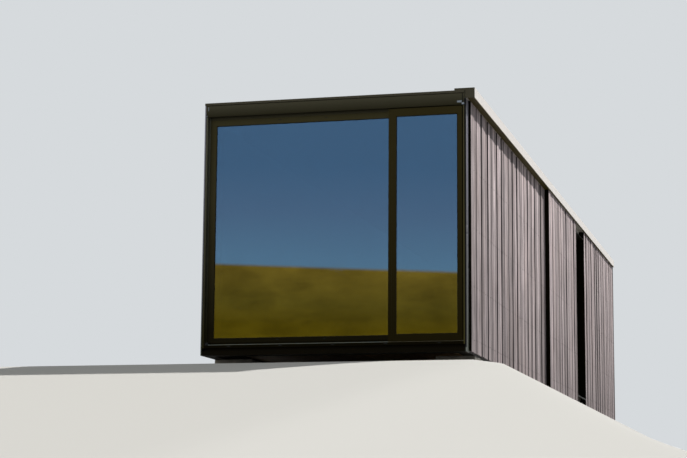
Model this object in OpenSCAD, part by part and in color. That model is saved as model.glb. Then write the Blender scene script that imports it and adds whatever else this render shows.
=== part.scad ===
// Shipping container cabin with a glazed sliding front, timber cladding and a box gutter.
// Millimetres. The glazed front faces -Y, +X is to its right, +Z is up.
// The origin is on the ground, in the middle of the whole cabin's footprint.

/* [Body] */
// Width of the body over its two cheeks
body_w = 2724; // [2400:2:3000]
// Length of the container behind the glazed portal
container_len = 12192; // [11000:2:13000]
// Depth of the portal that carries the sliding door
portal_depth = 150; // [140:2:220]
// Thickness of the insulated walls
wall_t = 160; // [120:5:220]
// Height of the insulated walls above the floor deck
wall_h = 2278; // [2100:2:2500]
// Thickness of the roof deck
roof_t = 122; // [80:2:180]
// Thickness of the ceiling lining
ceiling_t = 15; // [9:1:25]

/* [Base] */
// Height of the footing pads
pad_h = 120; // [60:5:300]
// Side of each square footing pad
pad_w = 400; // [300:10:600]
// Distance from the container's ends to the footing pads
pad_inset = 300; // [100:10:900]
// Width of the side rails
rail_w = 120; // [80:5:160]
// Height of the side rails
rail_h = 94; // [80:2:200]
// Width of the joists and of the rear beam
joist_w = 100; // [60:5:160]
// Thickness of the floor deck
deck_t = 28; // [18:1:45]
// Height of the lip along the foot of the front channel
lip_h = 43; // [20:1:60]
// Height of the front channel
channel_h = 75; // [65:1:92]
// Depth of the shadow gap above the lip
channel_recess = 45; // [20:1:80]

/* [Cladding] */
// Thickness of the vertical boards
board_t = 20; // [15:1:30]
// Level of the foot of the boards above the underside of the base
board_foot = 15; // [0:1:60]
// How far the proud sections stand out from the front section
proud = 50; // [25:1:65]
// Width of the battens behind the proud sections
batten_w = 60; // [40:2:90]
// Largest distance between battens
batten_pitch = 650; // [400:10:900]
// Length of the front section of the right side
front_section_len = 5018; // [4000:2:6000]
// Length of the middle section of the right side
middle_section_len = 2592; // [1500:2:3000]

/* [Slot window] */
// Width of the slot window
slot_w = 870; // [600:5:1000]
// Depth of the slot window's frame
slot_frame_depth = 60; // [45:1:80]
// Distance from the body's side to the slot window's frame
slot_setback = 40; // [10:1:60]
// Width of the slot window's frame bars
slot_bar = 50; // [40:1:80]

/* [Roof edge] */
// Height of the kerb under the caps
kerb_h = 55; // [40:1:90]
// Height of the roof's insulation where it meets the gutter
gutter_side_h = 25; // [12:1:38]
// Height of the metal caps
cap_h = 25; // [15:1:40]
// How far the caps stand out as a drip edge
nose = 8; // [4:1:15]
// Width of the rear and left caps
cap_seat = 60; // [40:2:120]
// Height of the dark groove under the front cap
groove_h = 7; // [3:1:15]
// Width of the box gutter
gutter_w = 205; // [150:5:260]
// Height of the box gutter
gutter_h = 103; // [80:1:140]
// How far the box gutter stands out from the body's side
gutter_over = 90; // [80:1:130]
// Thickness of the gutter's metal
gutter_t = 5; // [3:0.5:8]
// Joint in the front cap, where its last length runs on in front of the gutter
cap_joint = 2; // [1:0.5:6]

/* [Portal] */
// Thickness of the cheek plates
cheek_t = 11; // [6:1:20]
// Thickness of the fascia plate
fascia_t = 8; // [3:1:12]
// Height of the fascia plate
fascia_h = 114; // [100:1:150]
// Depth of the door frame's front leg, which holds the open track
front_leg = 56; // [54:1:62]
// Width of a jamb's front leg
jamb_face = 17; // [10:1:30]
// Extra width of a jamb's rear leg
jamb_step = 14; // [5:1:25]
// Height of the head's front leg
head_h = 52; // [40:1:60]
// Extra height of the head's rear leg
head_step = 37; // [20:1:50]
// Height of the sill's front leg
sill_h = 29; // [20:1:40]
// Extra height of the sill's rear leg
sill_step = 30; // [20:1:45]
// Width of the track's rail
track_w = 6; // [4:1:8]
// Height of the track's rail
track_h = 8; // [7:0.5:9]

/* [Glazing] */
// Thickness of both sashes
sash_t = 40; // [36:1:42]
// Gap between the two sashes
sash_gap = 14; // [12:1:20]
// Width of the sliding sash
slider_w = 747; // [600:1:1000]
// Width of the two stiles that meet
meeting_w = 79; // [50:1:95]
// Width of the sliding sash's closing stile
slider_stile = 47; // [40:1:80]
// Height of the sliding sash's top rail
slider_top = 77; // [50:1:95]
// Height of the sliding sash's bottom rail
slider_bottom = 68; // [55:1:100]
// Width of the fixed sash's outer stile
fixed_stile = 66; // [45:1:80]
// Height of the fixed sash's top rail
fixed_top = 61; // [45:1:80]
// Height of the fixed sash's bottom rail
fixed_bottom = 41; // [35:1:80]
// Thickness of the glazing units
glass_t = 24; // [18:1:28]
// How far each glazing unit sits in its frame
rebate = 12; // [8:1:18]
// Length of the glides under the sliding sash
glide_len = 60; // [40:1:90]
// Distance from the sliding sash's ends to its glides
glide_inset = 120; // [70:5:200]

/* [Clearances] */
// Gap between the sliding sash and the closing jamb
slider_side_gap = 12; // [6:1:16]
// Gap between the sliding sash and the sill
slider_foot_gap = 6; // [5:0.5:6.5]
// Gap between the sliding sash and the head
slider_head_gap = 22; // [8:1:30]
// Gap between the sliding sash and the fascia plate
slider_front_gap = 6; // [5:0.5:8]
// Gap around the track inside the sash's groove
track_gap = 6; // [5:0.5:8]
// Gap between the glides and the track
glide_gap = 0.3; // [0.2:0.05:0.5]

/* [Hidden] */

// Depth of the corner posts along the cabin
post_d = 120;
// Overcut that lets one shape cut cleanly through another
cut = 1;

// Across the cabin
overall_w = nose + board_t + body_w + gutter_over;
x_left = nose + board_t - overall_w / 2;
x_right = x_left + body_w;
x_proud = x_right + proud;
x_gutter_out = x_right + gutter_over;
x_gutter_in = x_gutter_out - gutter_w;
x_room_left = x_left + wall_t;
x_room_right = x_right - wall_t;
x_frame_left = x_left + cheek_t;
x_frame_right = x_right - cheek_t;
x_jamb_left = x_frame_left + jamb_face;
x_jamb_right = x_frame_right - jamb_face;

// Along the cabin
overall_len = nose + portal_depth + container_len + board_t + nose;
y_nose = -overall_len / 2;
y_front = y_nose + nose;
y_body = y_front + portal_depth;
y_back = y_body + container_len;
y_cap_end = overall_len / 2;
y_posts = y_body + post_d;
y_room_back = y_back - wall_t;
y_middle = y_body + front_section_len;
y_slot = y_middle + middle_section_len;
y_rear = y_slot + slot_w;
y_frame = y_front + fascia_t;
y_rear_leg = y_frame + front_leg;
y_slider = y_frame + slider_front_gap;
y_slider_back = y_slider + sash_t;
y_fixed = y_slider_back + sash_gap;
y_track = y_slider + sash_t / 2;

// Upward
z_base = pad_h;
z_floor = z_base + rail_h + deck_t;
z_wall_top = z_floor + wall_h;
z_roof = z_wall_top + roof_t;
z_kerb = z_roof + kerb_h;
z_cap = z_kerb + cap_h;
z_fascia_top = z_kerb - groove_h;
z_sill_foot = z_base + channel_h;
z_sill = z_sill_foot + sill_h;
z_sill_rear = z_sill + sill_step;
z_head = z_roof - head_h;
z_head_rear = z_head - head_step;
z_track = z_sill + track_h;
z_slider = z_sill + slider_foot_gap;
z_slider_top = z_head - slider_head_gap;
z_groove = z_track + track_gap;

// Width of the groove that runs over the track
groove_w = track_w + 2 * track_gap;

// The sliding sash closes to the right and meets the fixed sash at its left stile
x_slider_right = x_jamb_right - slider_side_gap;
x_slider_left = x_slider_right - slider_w;
x_fixed_left = x_jamb_left + jamb_step;
x_fixed_right = x_slider_left + meeting_w;

// A box between two corners
module block(low, high) {
    translate(low) cube(high - low);
}

// A glazed frame in the XZ plane: low and high are its outer corners, bars its
// left, right, lower and upper widths, and the glazing unit sits in a rebate
module sash_glass(low, high, bars) {
    y_mid = (low.y + high.y) / 2;
    block(
        [low.x + bars[0] - rebate, y_mid - glass_t / 2, low.z + bars[2] - rebate],
        [high.x - bars[1] + rebate, y_mid + glass_t / 2, high.z - bars[3] + rebate]
    );
}

module sash_frame(low, high, bars) {
    difference() {
        block(low, high);
        block(
            [low.x + bars[0], low.y - cut, low.z + bars[2]],
            [high.x - bars[1], high.y + cut, high.z - bars[3]]
        );
        sash_glass(low, high, bars);
    }
}

// Footings and base

// One pad under each corner
module footings() {
    color("#8c8a84")
        for (x = [x_left, x_right - pad_w], y = [y_body + pad_inset, y_back - pad_inset - pad_w])
            block([x, y, 0], [x + pad_w, y + pad_w, z_base]);
}

module base_rail(x) {
    color("#33322c") block([x, y_body, z_base], [x + rail_w, y_back, z_base + rail_h]);
}

module base_rail_left() {
    base_rail(x_left);
}

module base_rail_right() {
    base_rail(x_right - rail_w);
}

// A lip along the foot, and a web set back behind it
module front_channel() {
    color("#33322c") {
        block([x_frame_left, y_front, z_base], [x_frame_right, y_body, z_base + lip_h]);
        block(
            [x_frame_left, y_front + channel_recess, z_base + lip_h],
            [x_frame_right, y_body, z_sill_foot]
        );
    }
}

// Two joists and the beam at the back
module cross_beams() {
    y_joists = [for (part = [1, 2]) y_body + container_len * part / 3 - joist_w / 2];
    color("#33322c")
        for (y = concat(y_joists, y_back - joist_w))
            block([x_left + rail_w, y, z_base], [x_right - rail_w, y + joist_w, z_base + rail_h]);
}

module floor_deck() {
    color("#9a7d57") block([x_left, y_body, z_base + rail_h], [x_right, y_back, z_floor]);
}

// Walls

module corner_post(x) {
    color("#b9b7b0") block([x, y_body, z_floor], [x + wall_t, y_posts, z_wall_top]);
}

module corner_post_left() {
    corner_post(x_left);
}

module corner_post_right() {
    corner_post(x_room_right);
}

module side_wall(x, y0, y1) {
    color("#c9c7c0") block([x, y0, z_floor], [x + wall_t, y1, z_wall_top]);
}

module left_wall() {
    side_wall(x_left, y_posts, y_back);
}

module right_wall_front() {
    side_wall(x_room_right, y_posts, y_slot);
}

module right_wall_rear() {
    side_wall(x_room_right, y_rear, y_back);
}

module back_wall() {
    color("#c9c7c0") block(
        [x_room_left, y_room_back, z_floor],
        [x_room_right, y_back, z_wall_top]
    );
}

// Cladding

module left_cladding() {
    color("#8f8885") block(
        [x_left - board_t, y_body, z_base + board_foot],
        [x_left, y_back, z_kerb]
    );
}

// A stretch of boards along the right side
module right_boards(x, y0, y1) {
    color("#8f8885") block([x, y0, z_base + board_foot], [x + board_t, y1, z_roof]);
}

module right_cladding_front() {
    right_boards(x_right, y_body, y_middle);
}

module right_cladding_middle() {
    right_boards(x_proud, y_middle, y_slot);
}

module right_cladding_rear() {
    right_boards(x_proud, y_rear, y_back);
}

module back_cladding() {
    color("#8f8885") block(
        [x_left - board_t, y_back, z_base + board_foot],
        [x_proud + board_t, y_back + board_t, z_roof]
    );
}

// Upright battens that carry the proud boards clear of the wall, one at each end and some between
module batten_row(y0, y1) {
    bays = ceil((y1 - y0) / batten_pitch);
    pitch = (y1 - y0 - batten_w) / bays;
    for (i = [0 : bays]) {
        y = y0 + i * pitch;
        block([x_right, y, z_base + board_foot], [x_proud, y + batten_w, z_roof]);
    }
}

module cladding_battens() {
    color("#8f8885") {
        batten_row(y_middle, y_slot);
        batten_row(y_rear, y_back);
    }
}

// Slot window, set back in the right side

// The window is drawn across the X axis and turned to face the side
module in_slot() {
    translate([x_right - slot_setback, y_slot, 0]) rotate([0, 0, 90]) children();
}

module slot_window_frame() {
    color("#33322c") in_slot() sash_frame(
        [0, 0, z_floor],
        [slot_w, slot_frame_depth, z_wall_top],
        [slot_bar, slot_bar, slot_bar, slot_bar]
    );
}

module slot_window_glass() {
    color("#3e5d78", 0.5) in_slot() sash_glass(
        [0, 0, z_floor],
        [slot_w, slot_frame_depth, z_wall_top],
        [slot_bar, slot_bar, slot_bar, slot_bar]
    );
}

// Roof

module roof_deck() {
    color("#c9c7c0") block([x_left, y_body, z_wall_top], [x_right, y_back, z_roof]);
}

// Insulation and sheet in one wedge that falls to the gutter
module roof_sheet() {
    color("#8f9290") translate([0, y_body, 0]) mirror([0, 1, 0]) rotate([90, 0, 0])
        linear_extrude(y_back - y_body) polygon([
            [x_left, z_roof],
            [x_gutter_in, z_roof],
            [x_gutter_in, z_roof + gutter_side_h],
            [x_left, z_kerb]
        ]);
}

module ceiling() {
    color("#dedcd6") block(
        [x_room_left, y_body, z_wall_top - ceiling_t],
        [x_room_right, y_room_back, z_wall_top]
    );
}

// An open trough along the right side: a floor, two sides and a stop end at each end.
// Its front end stands behind the fascia.
module gutter_floor() {
    color("#e6e1da") block(
        [x_gutter_in, y_frame + gutter_t, z_roof],
        [x_gutter_out, y_cap_end - gutter_t, z_roof + gutter_t]
    );
}

module gutter_sides() {
    color("#e6e1da")
        for (x = [x_gutter_in, x_gutter_out - gutter_t])
            block(
                [x, y_frame + gutter_t, z_roof + gutter_t],
                [x + gutter_t, y_cap_end - gutter_t, z_roof + gutter_h]
            );
}

module gutter_stop_ends() {
    color("#3c3c38")
        for (y = [y_frame, y_cap_end - gutter_t])
            block([x_gutter_in, y, z_roof], [x_gutter_out, y + gutter_t, z_roof + gutter_h]);
}

// The kerb over the door, with the upper part of the fascia in front of it
module front_kerb() {
    color("#45453e") {
        block([x_frame_left, y_front, z_roof], [x_gutter_in, y_frame, z_fascia_top]);
        block([x_frame_left, y_frame, z_roof], [x_gutter_in, y_body, z_kerb]);
    }
}

// The lower part of the fascia, which hangs in front of the head, and its end in front of the gutter
module front_fascia() {
    color("#45453e") {
        block([x_frame_left, y_front, z_fascia_top - fascia_h], [x_frame_right, y_frame, z_roof]);
        block([x_gutter_in, y_front, z_roof], [x_frame_right, y_frame, z_fascia_top]);
    }
}

// The cap over the kerb, and its last length in front of the gutter
module front_cap() {
    color("#3c3c38") {
        block([x_left, y_nose, z_kerb], [x_gutter_in, y_body, z_cap]);
        block([x_gutter_in + cap_joint, y_nose, z_kerb], [x_frame_right, y_frame, z_cap]);
    }
}

// A cap whose apron hangs down to the head of the boards
module rear_cap() {
    color("#3c3c38") {
        block(
            [x_left - board_t - nose, y_back + board_t - cap_seat, z_kerb],
            [x_gutter_in, y_cap_end, z_cap]
        );
        block([x_left - board_t, y_back, z_roof], [x_gutter_in, y_back + board_t, z_kerb]);
    }
}

module left_verge_cap() {
    color("#3c3c38") block(
        [x_left - board_t - nose, y_body, z_kerb],
        [x_left - board_t - nose + cap_seat, y_back + board_t - cap_seat, z_cap]
    );
}

// Portal and door frame

module cheek(x, z_top) {
    color("#2e2e2a") block([x, y_front, z_base], [x + cheek_t, y_body, z_top]);
}

module cheek_left() {
    cheek(x_left, z_kerb);
}

module cheek_right() {
    cheek(x_frame_right, z_roof);
}

// The left jamb; the right one is its mirror image
module jamb() {
    block([0, y_frame, z_sill_foot], [jamb_face, y_rear_leg, z_roof]);
    block([0, y_rear_leg, z_sill_foot], [jamb_face + jamb_step, y_body, z_roof]);
}

module door_jamb_left() {
    color("#45453e") translate([x_frame_left, 0, 0]) jamb();
}

module door_jamb_right() {
    color("#45453e") translate([x_frame_right, 0, 0]) mirror([1, 0, 0]) jamb();
}

module door_head() {
    color("#3c3c38") block([x_jamb_left, y_frame, z_head], [x_jamb_right, y_rear_leg, z_roof]);
}

// The deeper part behind the outer track, which holds the fixed sash
module door_head_inner() {
    color("#3c3c38") block(
        [x_jamb_left + jamb_step, y_rear_leg, z_head_rear],
        [x_jamb_right - jamb_step, y_body, z_roof]
    );
}

module door_sill() {
    color("#3c3c38") block(
        [x_jamb_left, y_frame, z_sill_foot],
        [x_jamb_right, y_rear_leg, z_sill]
    );
}

module door_sill_inner() {
    color("#3c3c38") block(
        [x_jamb_left + jamb_step, y_rear_leg, z_sill_foot],
        [x_jamb_right - jamb_step, y_body, z_sill_rear]
    );
}

module door_track() {
    color("#aab0bc") block(
        [x_jamb_left, y_track - track_w / 2, z_sill],
        [x_jamb_right, y_track + track_w / 2, z_track]
    );
}

// Fixed sash on the inner line, sliding sash on the outer one

FIXED_LOW = [x_fixed_left, y_fixed, z_sill_rear];
FIXED_HIGH = [x_fixed_right, y_fixed + sash_t, z_head_rear];
FIXED_BARS = [fixed_stile, meeting_w, fixed_bottom, fixed_top];
SLIDER_LOW = [x_slider_left, y_slider, z_slider];
SLIDER_HIGH = [x_slider_right, y_slider_back, z_slider_top];
SLIDER_BARS = [meeting_w, slider_stile, slider_bottom, slider_top];

module fixed_sash_frame() {
    color("#3a3932") sash_frame(FIXED_LOW, FIXED_HIGH, FIXED_BARS);
}

module fixed_sash_glass() {
    color("#3e5d78", 0.5) sash_glass(FIXED_LOW, FIXED_HIGH, FIXED_BARS);
}

module sliding_sash_frame() {
    color("#3a3932") difference() {
        sash_frame(SLIDER_LOW, SLIDER_HIGH, SLIDER_BARS);
        block(
            [x_slider_left - cut, y_track - groove_w / 2, z_slider - cut],
            [x_slider_right + cut, y_track + groove_w / 2, z_groove]
        );
    }
}

module sliding_sash_glass() {
    color("#3e5d78", 0.5) sash_glass(SLIDER_LOW, SLIDER_HIGH, SLIDER_BARS);
}

// Shoes in the groove of the bottom rail, just above the track
module glides() {
    color("#1d1d1b")
        for (x = [x_slider_left + glide_inset, x_slider_right - glide_inset - glide_len])
            block(
                [x, y_track - groove_w / 2, z_track + glide_gap],
                [x + glide_len, y_track + groove_w / 2, z_groove]
            );
}

footings();
base_rail_left();
base_rail_right();
front_channel();
cross_beams();
floor_deck();
corner_post_left();
corner_post_right();
left_wall();
right_wall_front();
right_wall_rear();
back_wall();
left_cladding();
right_cladding_front();
right_cladding_middle();
right_cladding_rear();
back_cladding();
cladding_battens();
slot_window_frame();
slot_window_glass();
roof_deck();
roof_sheet();
ceiling();
gutter_floor();
gutter_sides();
gutter_stop_ends();
front_kerb();
front_fascia();
front_cap();
rear_cap();
left_verge_cap();
cheek_left();
cheek_right();
door_jamb_left();
door_jamb_right();
door_head();
door_head_inner();
door_sill();
door_sill_inner();
door_track();
fixed_sash_frame();
fixed_sash_glass();
sliding_sash_frame();
sliding_sash_glass();
glides();
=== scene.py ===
import math
import random

import bmesh
import bpy
from mathutils import Matrix, Vector


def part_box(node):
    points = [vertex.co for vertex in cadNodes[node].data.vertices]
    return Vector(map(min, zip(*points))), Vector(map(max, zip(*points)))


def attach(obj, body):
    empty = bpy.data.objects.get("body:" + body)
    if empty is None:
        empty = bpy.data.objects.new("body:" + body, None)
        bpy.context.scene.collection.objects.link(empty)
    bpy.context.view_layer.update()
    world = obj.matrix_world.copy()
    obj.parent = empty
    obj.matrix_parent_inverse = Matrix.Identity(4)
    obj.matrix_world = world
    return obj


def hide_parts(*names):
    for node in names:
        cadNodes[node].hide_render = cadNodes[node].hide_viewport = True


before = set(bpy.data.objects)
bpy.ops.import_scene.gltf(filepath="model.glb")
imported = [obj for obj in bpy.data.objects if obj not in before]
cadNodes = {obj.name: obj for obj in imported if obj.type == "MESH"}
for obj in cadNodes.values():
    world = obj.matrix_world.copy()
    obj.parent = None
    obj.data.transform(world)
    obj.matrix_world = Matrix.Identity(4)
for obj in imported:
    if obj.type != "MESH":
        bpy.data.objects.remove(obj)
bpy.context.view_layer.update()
scene = bpy.context.scene
print("frame loaded:", len(cadNodes), "solids")


# Helpers

def toLinear(hexColour):
    parts = [int(hexColour[i:i + 2], 16) / 255 for i in (1, 3, 5)]
    return [c / 12.92 if c <= 0.04045 else ((c + 0.055) / 1.055) ** 2.4 for c in parts] + [1.0]


def patternScale(*sizes):
    # how often a pattern repeats in a metre, from its real size or sizes in mm
    scales = tuple(1000 / size for size in sizes)
    return scales if len(scales) > 1 else scales[0]


def feed(tree, node, inputs):
    for name, value in dict(inputs).items():
        socket = node.inputs[name]
        if isinstance(value, bpy.types.NodeSocket):
            tree.links.new(value, socket)
        else:
            socket.default_value = value


def addNode(tree, kind, settings=(), inputs=()):
    node = tree.nodes.new(kind)
    for name, value in dict(settings).items():
        if name == "ramp":  # stops of a colour ramp, as (position, hex)
            stops = node.color_ramp.elements
            while len(stops) < len(value):
                stops.new(0.5)
            for stop, (position, colour) in zip(stops, value):
                stop.position = position
                stop.color = toLinear(colour)
        else:
            setattr(node, name, value)
    feed(tree, node, inputs)
    return node


def newFinish(name):
    material = bpy.data.materials.new(name)
    material.use_nodes = True
    tree = material.node_tree
    place = addNode(tree, "ShaderNodeTexCoord").outputs["Object"]
    return material, tree, tree.nodes["Principled BSDF"], place


def addBlock(bm, low, high, ease=0.0):
    made = bmesh.ops.create_cube(bm, size=1.0)["verts"]
    low, high = Vector(low), Vector(high)
    centre, size = (low + high) / 2, high - low
    for v in made:
        v.co = Vector([v.co[i] * size[i] + centre[i] for i in range(3)])
    if ease:
        edges = list(dict.fromkeys(e for v in made for e in v.link_edges))
        bmesh.ops.bevel(bm, geom=edges, offset=ease, segments=2, profile=0.5, affect="EDGES")


def addRun(bm, section, axis, start, end):
    # a closed outline carried straight along one axis: its points are (y, z) along X, (x, z) along Y and
    # (x, y) along Z
    others = [i for i in range(3) if i != axis]
    rings = []
    for reach in (start, end):
        ring = []
        for p in section:
            co = [0.0, 0.0, 0.0]
            co[axis], co[others[0]], co[others[1]] = reach, p[0], p[1]
            ring.append(bm.verts.new(co))
        rings.append(ring)
    count = len(section)
    faces = [bm.faces.new([rings[0][i], rings[0][(i + 1) % count], rings[1][(i + 1) % count], rings[1][i]])
             for i in range(count)]
    faces += [bm.faces.new(rings[0][::-1]), bm.faces.new(rings[1])]
    bmesh.ops.recalc_face_normals(bm, faces=faces)


def addSurround(bm, low, high, section):
    # a closed section mitred round an opening in the XZ plane: points are (inset from the opening's edge, y)
    loops = []
    for cornerX, cornerZ in ((0, 0), (1, 0), (1, 1), (0, 1)):
        loop = []
        for inset, y in section:
            x = (low[0] + inset, high[0] - inset)[cornerX]
            z = (low[2] + inset, high[2] - inset)[cornerZ]
            loop.append(bm.verts.new((x, y, z)))
        loops.append(loop)
    count = len(section)
    faces = []
    for k in range(4):
        here, there = loops[k], loops[(k + 1) % 4]
        for i in range(count):
            j = (i + 1) % count
            faces.append(bm.faces.new([here[i], here[j], there[j], there[i]]))
    bmesh.ops.recalc_face_normals(bm, faces=faces)


def keepPiece(name, bm, material, body, standsFor=(), turn=None):
    mesh = bpy.data.meshes.new(name)
    if turn is not None:
        bm.transform(turn)
    bm.to_mesh(mesh)
    bm.free()
    mesh.materials.append(material)
    piece = bpy.data.objects.new(name, mesh)
    scene.collection.objects.link(piece)
    seatPiece(piece, body, standsFor)


def seatPiece(piece, body, standsFor=()):
    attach(piece, body)
    if standsFor:
        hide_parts(*standsFor)


creaseAngle = 0.5  # radians, past which an edge stays sharp


def newGroup(name, sizes):
    tree = bpy.data.node_groups.new(name, "GeometryNodeTree")
    tree.interface.new_socket("Geometry", in_out="INPUT", socket_type="NodeSocketGeometry")
    for label, kind, value in sizes:
        socket = tree.interface.new_socket(label, in_out="INPUT", socket_type=kind)
        if value is not None:
            socket.default_value = value
    tree.interface.new_socket("Geometry", in_out="OUTPUT", socket_type="NodeSocketGeometry")
    return tree, addNode(tree, "NodeGroupInput")


def endGroup(tree, start, instances, reshape=None):
    real = addNode(tree, "GeometryNodeRealizeInstances", (), {"Geometry": instances}).outputs["Geometry"]
    if reshape:
        real = reshape(real)
    smooth = addNode(tree, "GeometryNodeSetShadeSmooth", {"domain": "FACE"},
                     {"Geometry": real, "Shade Smooth": True}).outputs["Geometry"]
    angle = addNode(tree, "GeometryNodeInputMeshEdgeAngle").outputs["Unsigned Angle"]
    hard = addNode(tree, "FunctionNodeCompare", {"operation": "GREATER_THAN"}, {
        0: angle, 1: creaseAngle}).outputs[0]
    creased = addNode(tree, "GeometryNodeSetShadeSmooth", {"domain": "EDGE"},
                      {"Geometry": smooth, "Selection": hard, "Shade Smooth": False}).outputs["Geometry"]
    coated = addNode(tree, "GeometryNodeSetMaterial", (),
                     {"Geometry": creased, "Material": start.outputs["Material"]}).outputs["Geometry"]
    addNode(tree, "NodeGroupOutput", (), {"Geometry": coated})


def growPiece(name, tree, points, values, material, turn=None, fields=None):
    # runs a node group on a cloud of points and keeps the result as a plain mesh
    mesh = bpy.data.meshes.new(name)
    mesh.from_pydata([tuple(p) for p in points], [], [])
    for field, numbers in (fields or {}).items():
        mesh.attributes.new(field, "FLOAT", "POINT").data.foreach_set("value", numbers)
    piece = bpy.data.objects.new(name, mesh)
    scene.collection.objects.link(piece)
    modifier = piece.modifiers.new("grow", "NODES")
    modifier.node_group = tree
    wanted = dict(values, Material=material)
    for item in tree.interface.items_tree:
        if item.item_type == "SOCKET" and item.in_out == "INPUT" and item.name in wanted:
            modifier[item.identifier] = wanted[item.name]
    depsgraph = bpy.context.evaluated_depsgraph_get()
    plain = bpy.data.meshes.new_from_object(piece.evaluated_get(depsgraph), preserve_all_data_layers=True,
                                            depsgraph=depsgraph)
    piece.modifiers.remove(modifier)
    if turn is not None:
        plain.transform(turn)
    piece.data = plain
    plain.name = name
    return piece


def turned(angle, origin):
    return Matrix.Translation(Vector(origin)) @ Matrix.Rotation(math.radians(angle), 4, "Z")


# Camera: low in front of the cabin, looking up at its right front corner

# metres, degrees and mm
viewpoint = {
    "place": (4.666, -23.580, -1.545), "yaw": 14.739, "pitch": 9.184, "roll": 0.437,
    "lens": 95.67, "sensor": 36, "farthest": 400,
}

yaw, pitch, roll = (math.radians(viewpoint[k]) for k in ("yaw", "pitch", "roll"))
ahead = Vector((-math.sin(yaw) * math.cos(pitch), math.cos(yaw) * math.cos(pitch), math.sin(pitch)))
level = Vector((math.cos(yaw), math.sin(yaw), 0))
over = level.cross(ahead)
across = level * math.cos(roll) + over * math.sin(roll)
upright = over * math.cos(roll) - level * math.sin(roll)
cameraData = bpy.data.cameras.new("viewpoint")
cameraData.sensor_width = viewpoint["sensor"]
cameraData.lens = viewpoint["lens"]
cameraData.clip_end = viewpoint["farthest"]
camera = bpy.data.objects.new("viewpoint", cameraData)
heading = Matrix((across, upright, -ahead)).transposed().to_4x4()
camera.matrix_world = Matrix.Translation(viewpoint["place"]) @ heading
scene.collection.objects.link(camera)
scene.camera = camera


# Finishes

timberLook = {
    "pale": "#d2c6c9", "body": "#bcb0b3", "dark": "#81767b", "check": "#2b2525", "brown": "#947e76",
    "grainWide": 7, "grainLong": 420, "checkWide": 5, "checkLong": 800, "blotch": 900,  # mm
    "weatherWide": 62, "weatherLong": 800,  # mm
    "apart": (7.0, 5.0, 31.0),  # metres by which the pattern shifts from the dullest board to the brightest
    "browned": 0.35, "checkFrom": 0.655, "checkTo": 0.70, "checkDark": 0.9,
    "duller": 0.62, "brighter": 1.32,  # board to board
    "stained": 0.66, "washed": 1.30,  # in streaks across each board
    # painted shade: each board darkens towards its two edges, where the joints are
    "edgeShadeFrom": 0.40, "edgeShadeTo": 0.50, "edgeShade": 0.38,  # towards a board's two edges, in shares of its width
    # painted shadow: the boards darken from the eave down to the foot
    "paintedShadeFoot": 0.60, "high": 1.08, "paintedShadeLevel": 0.3, "highLevel": 2.4,  # from the foot to the eave
    # the sides' darkening is partly unweathered wood and partly painted shade
    "edge": 0.22, "roughness": 0.88, "gloss": 0.25,
}


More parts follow.
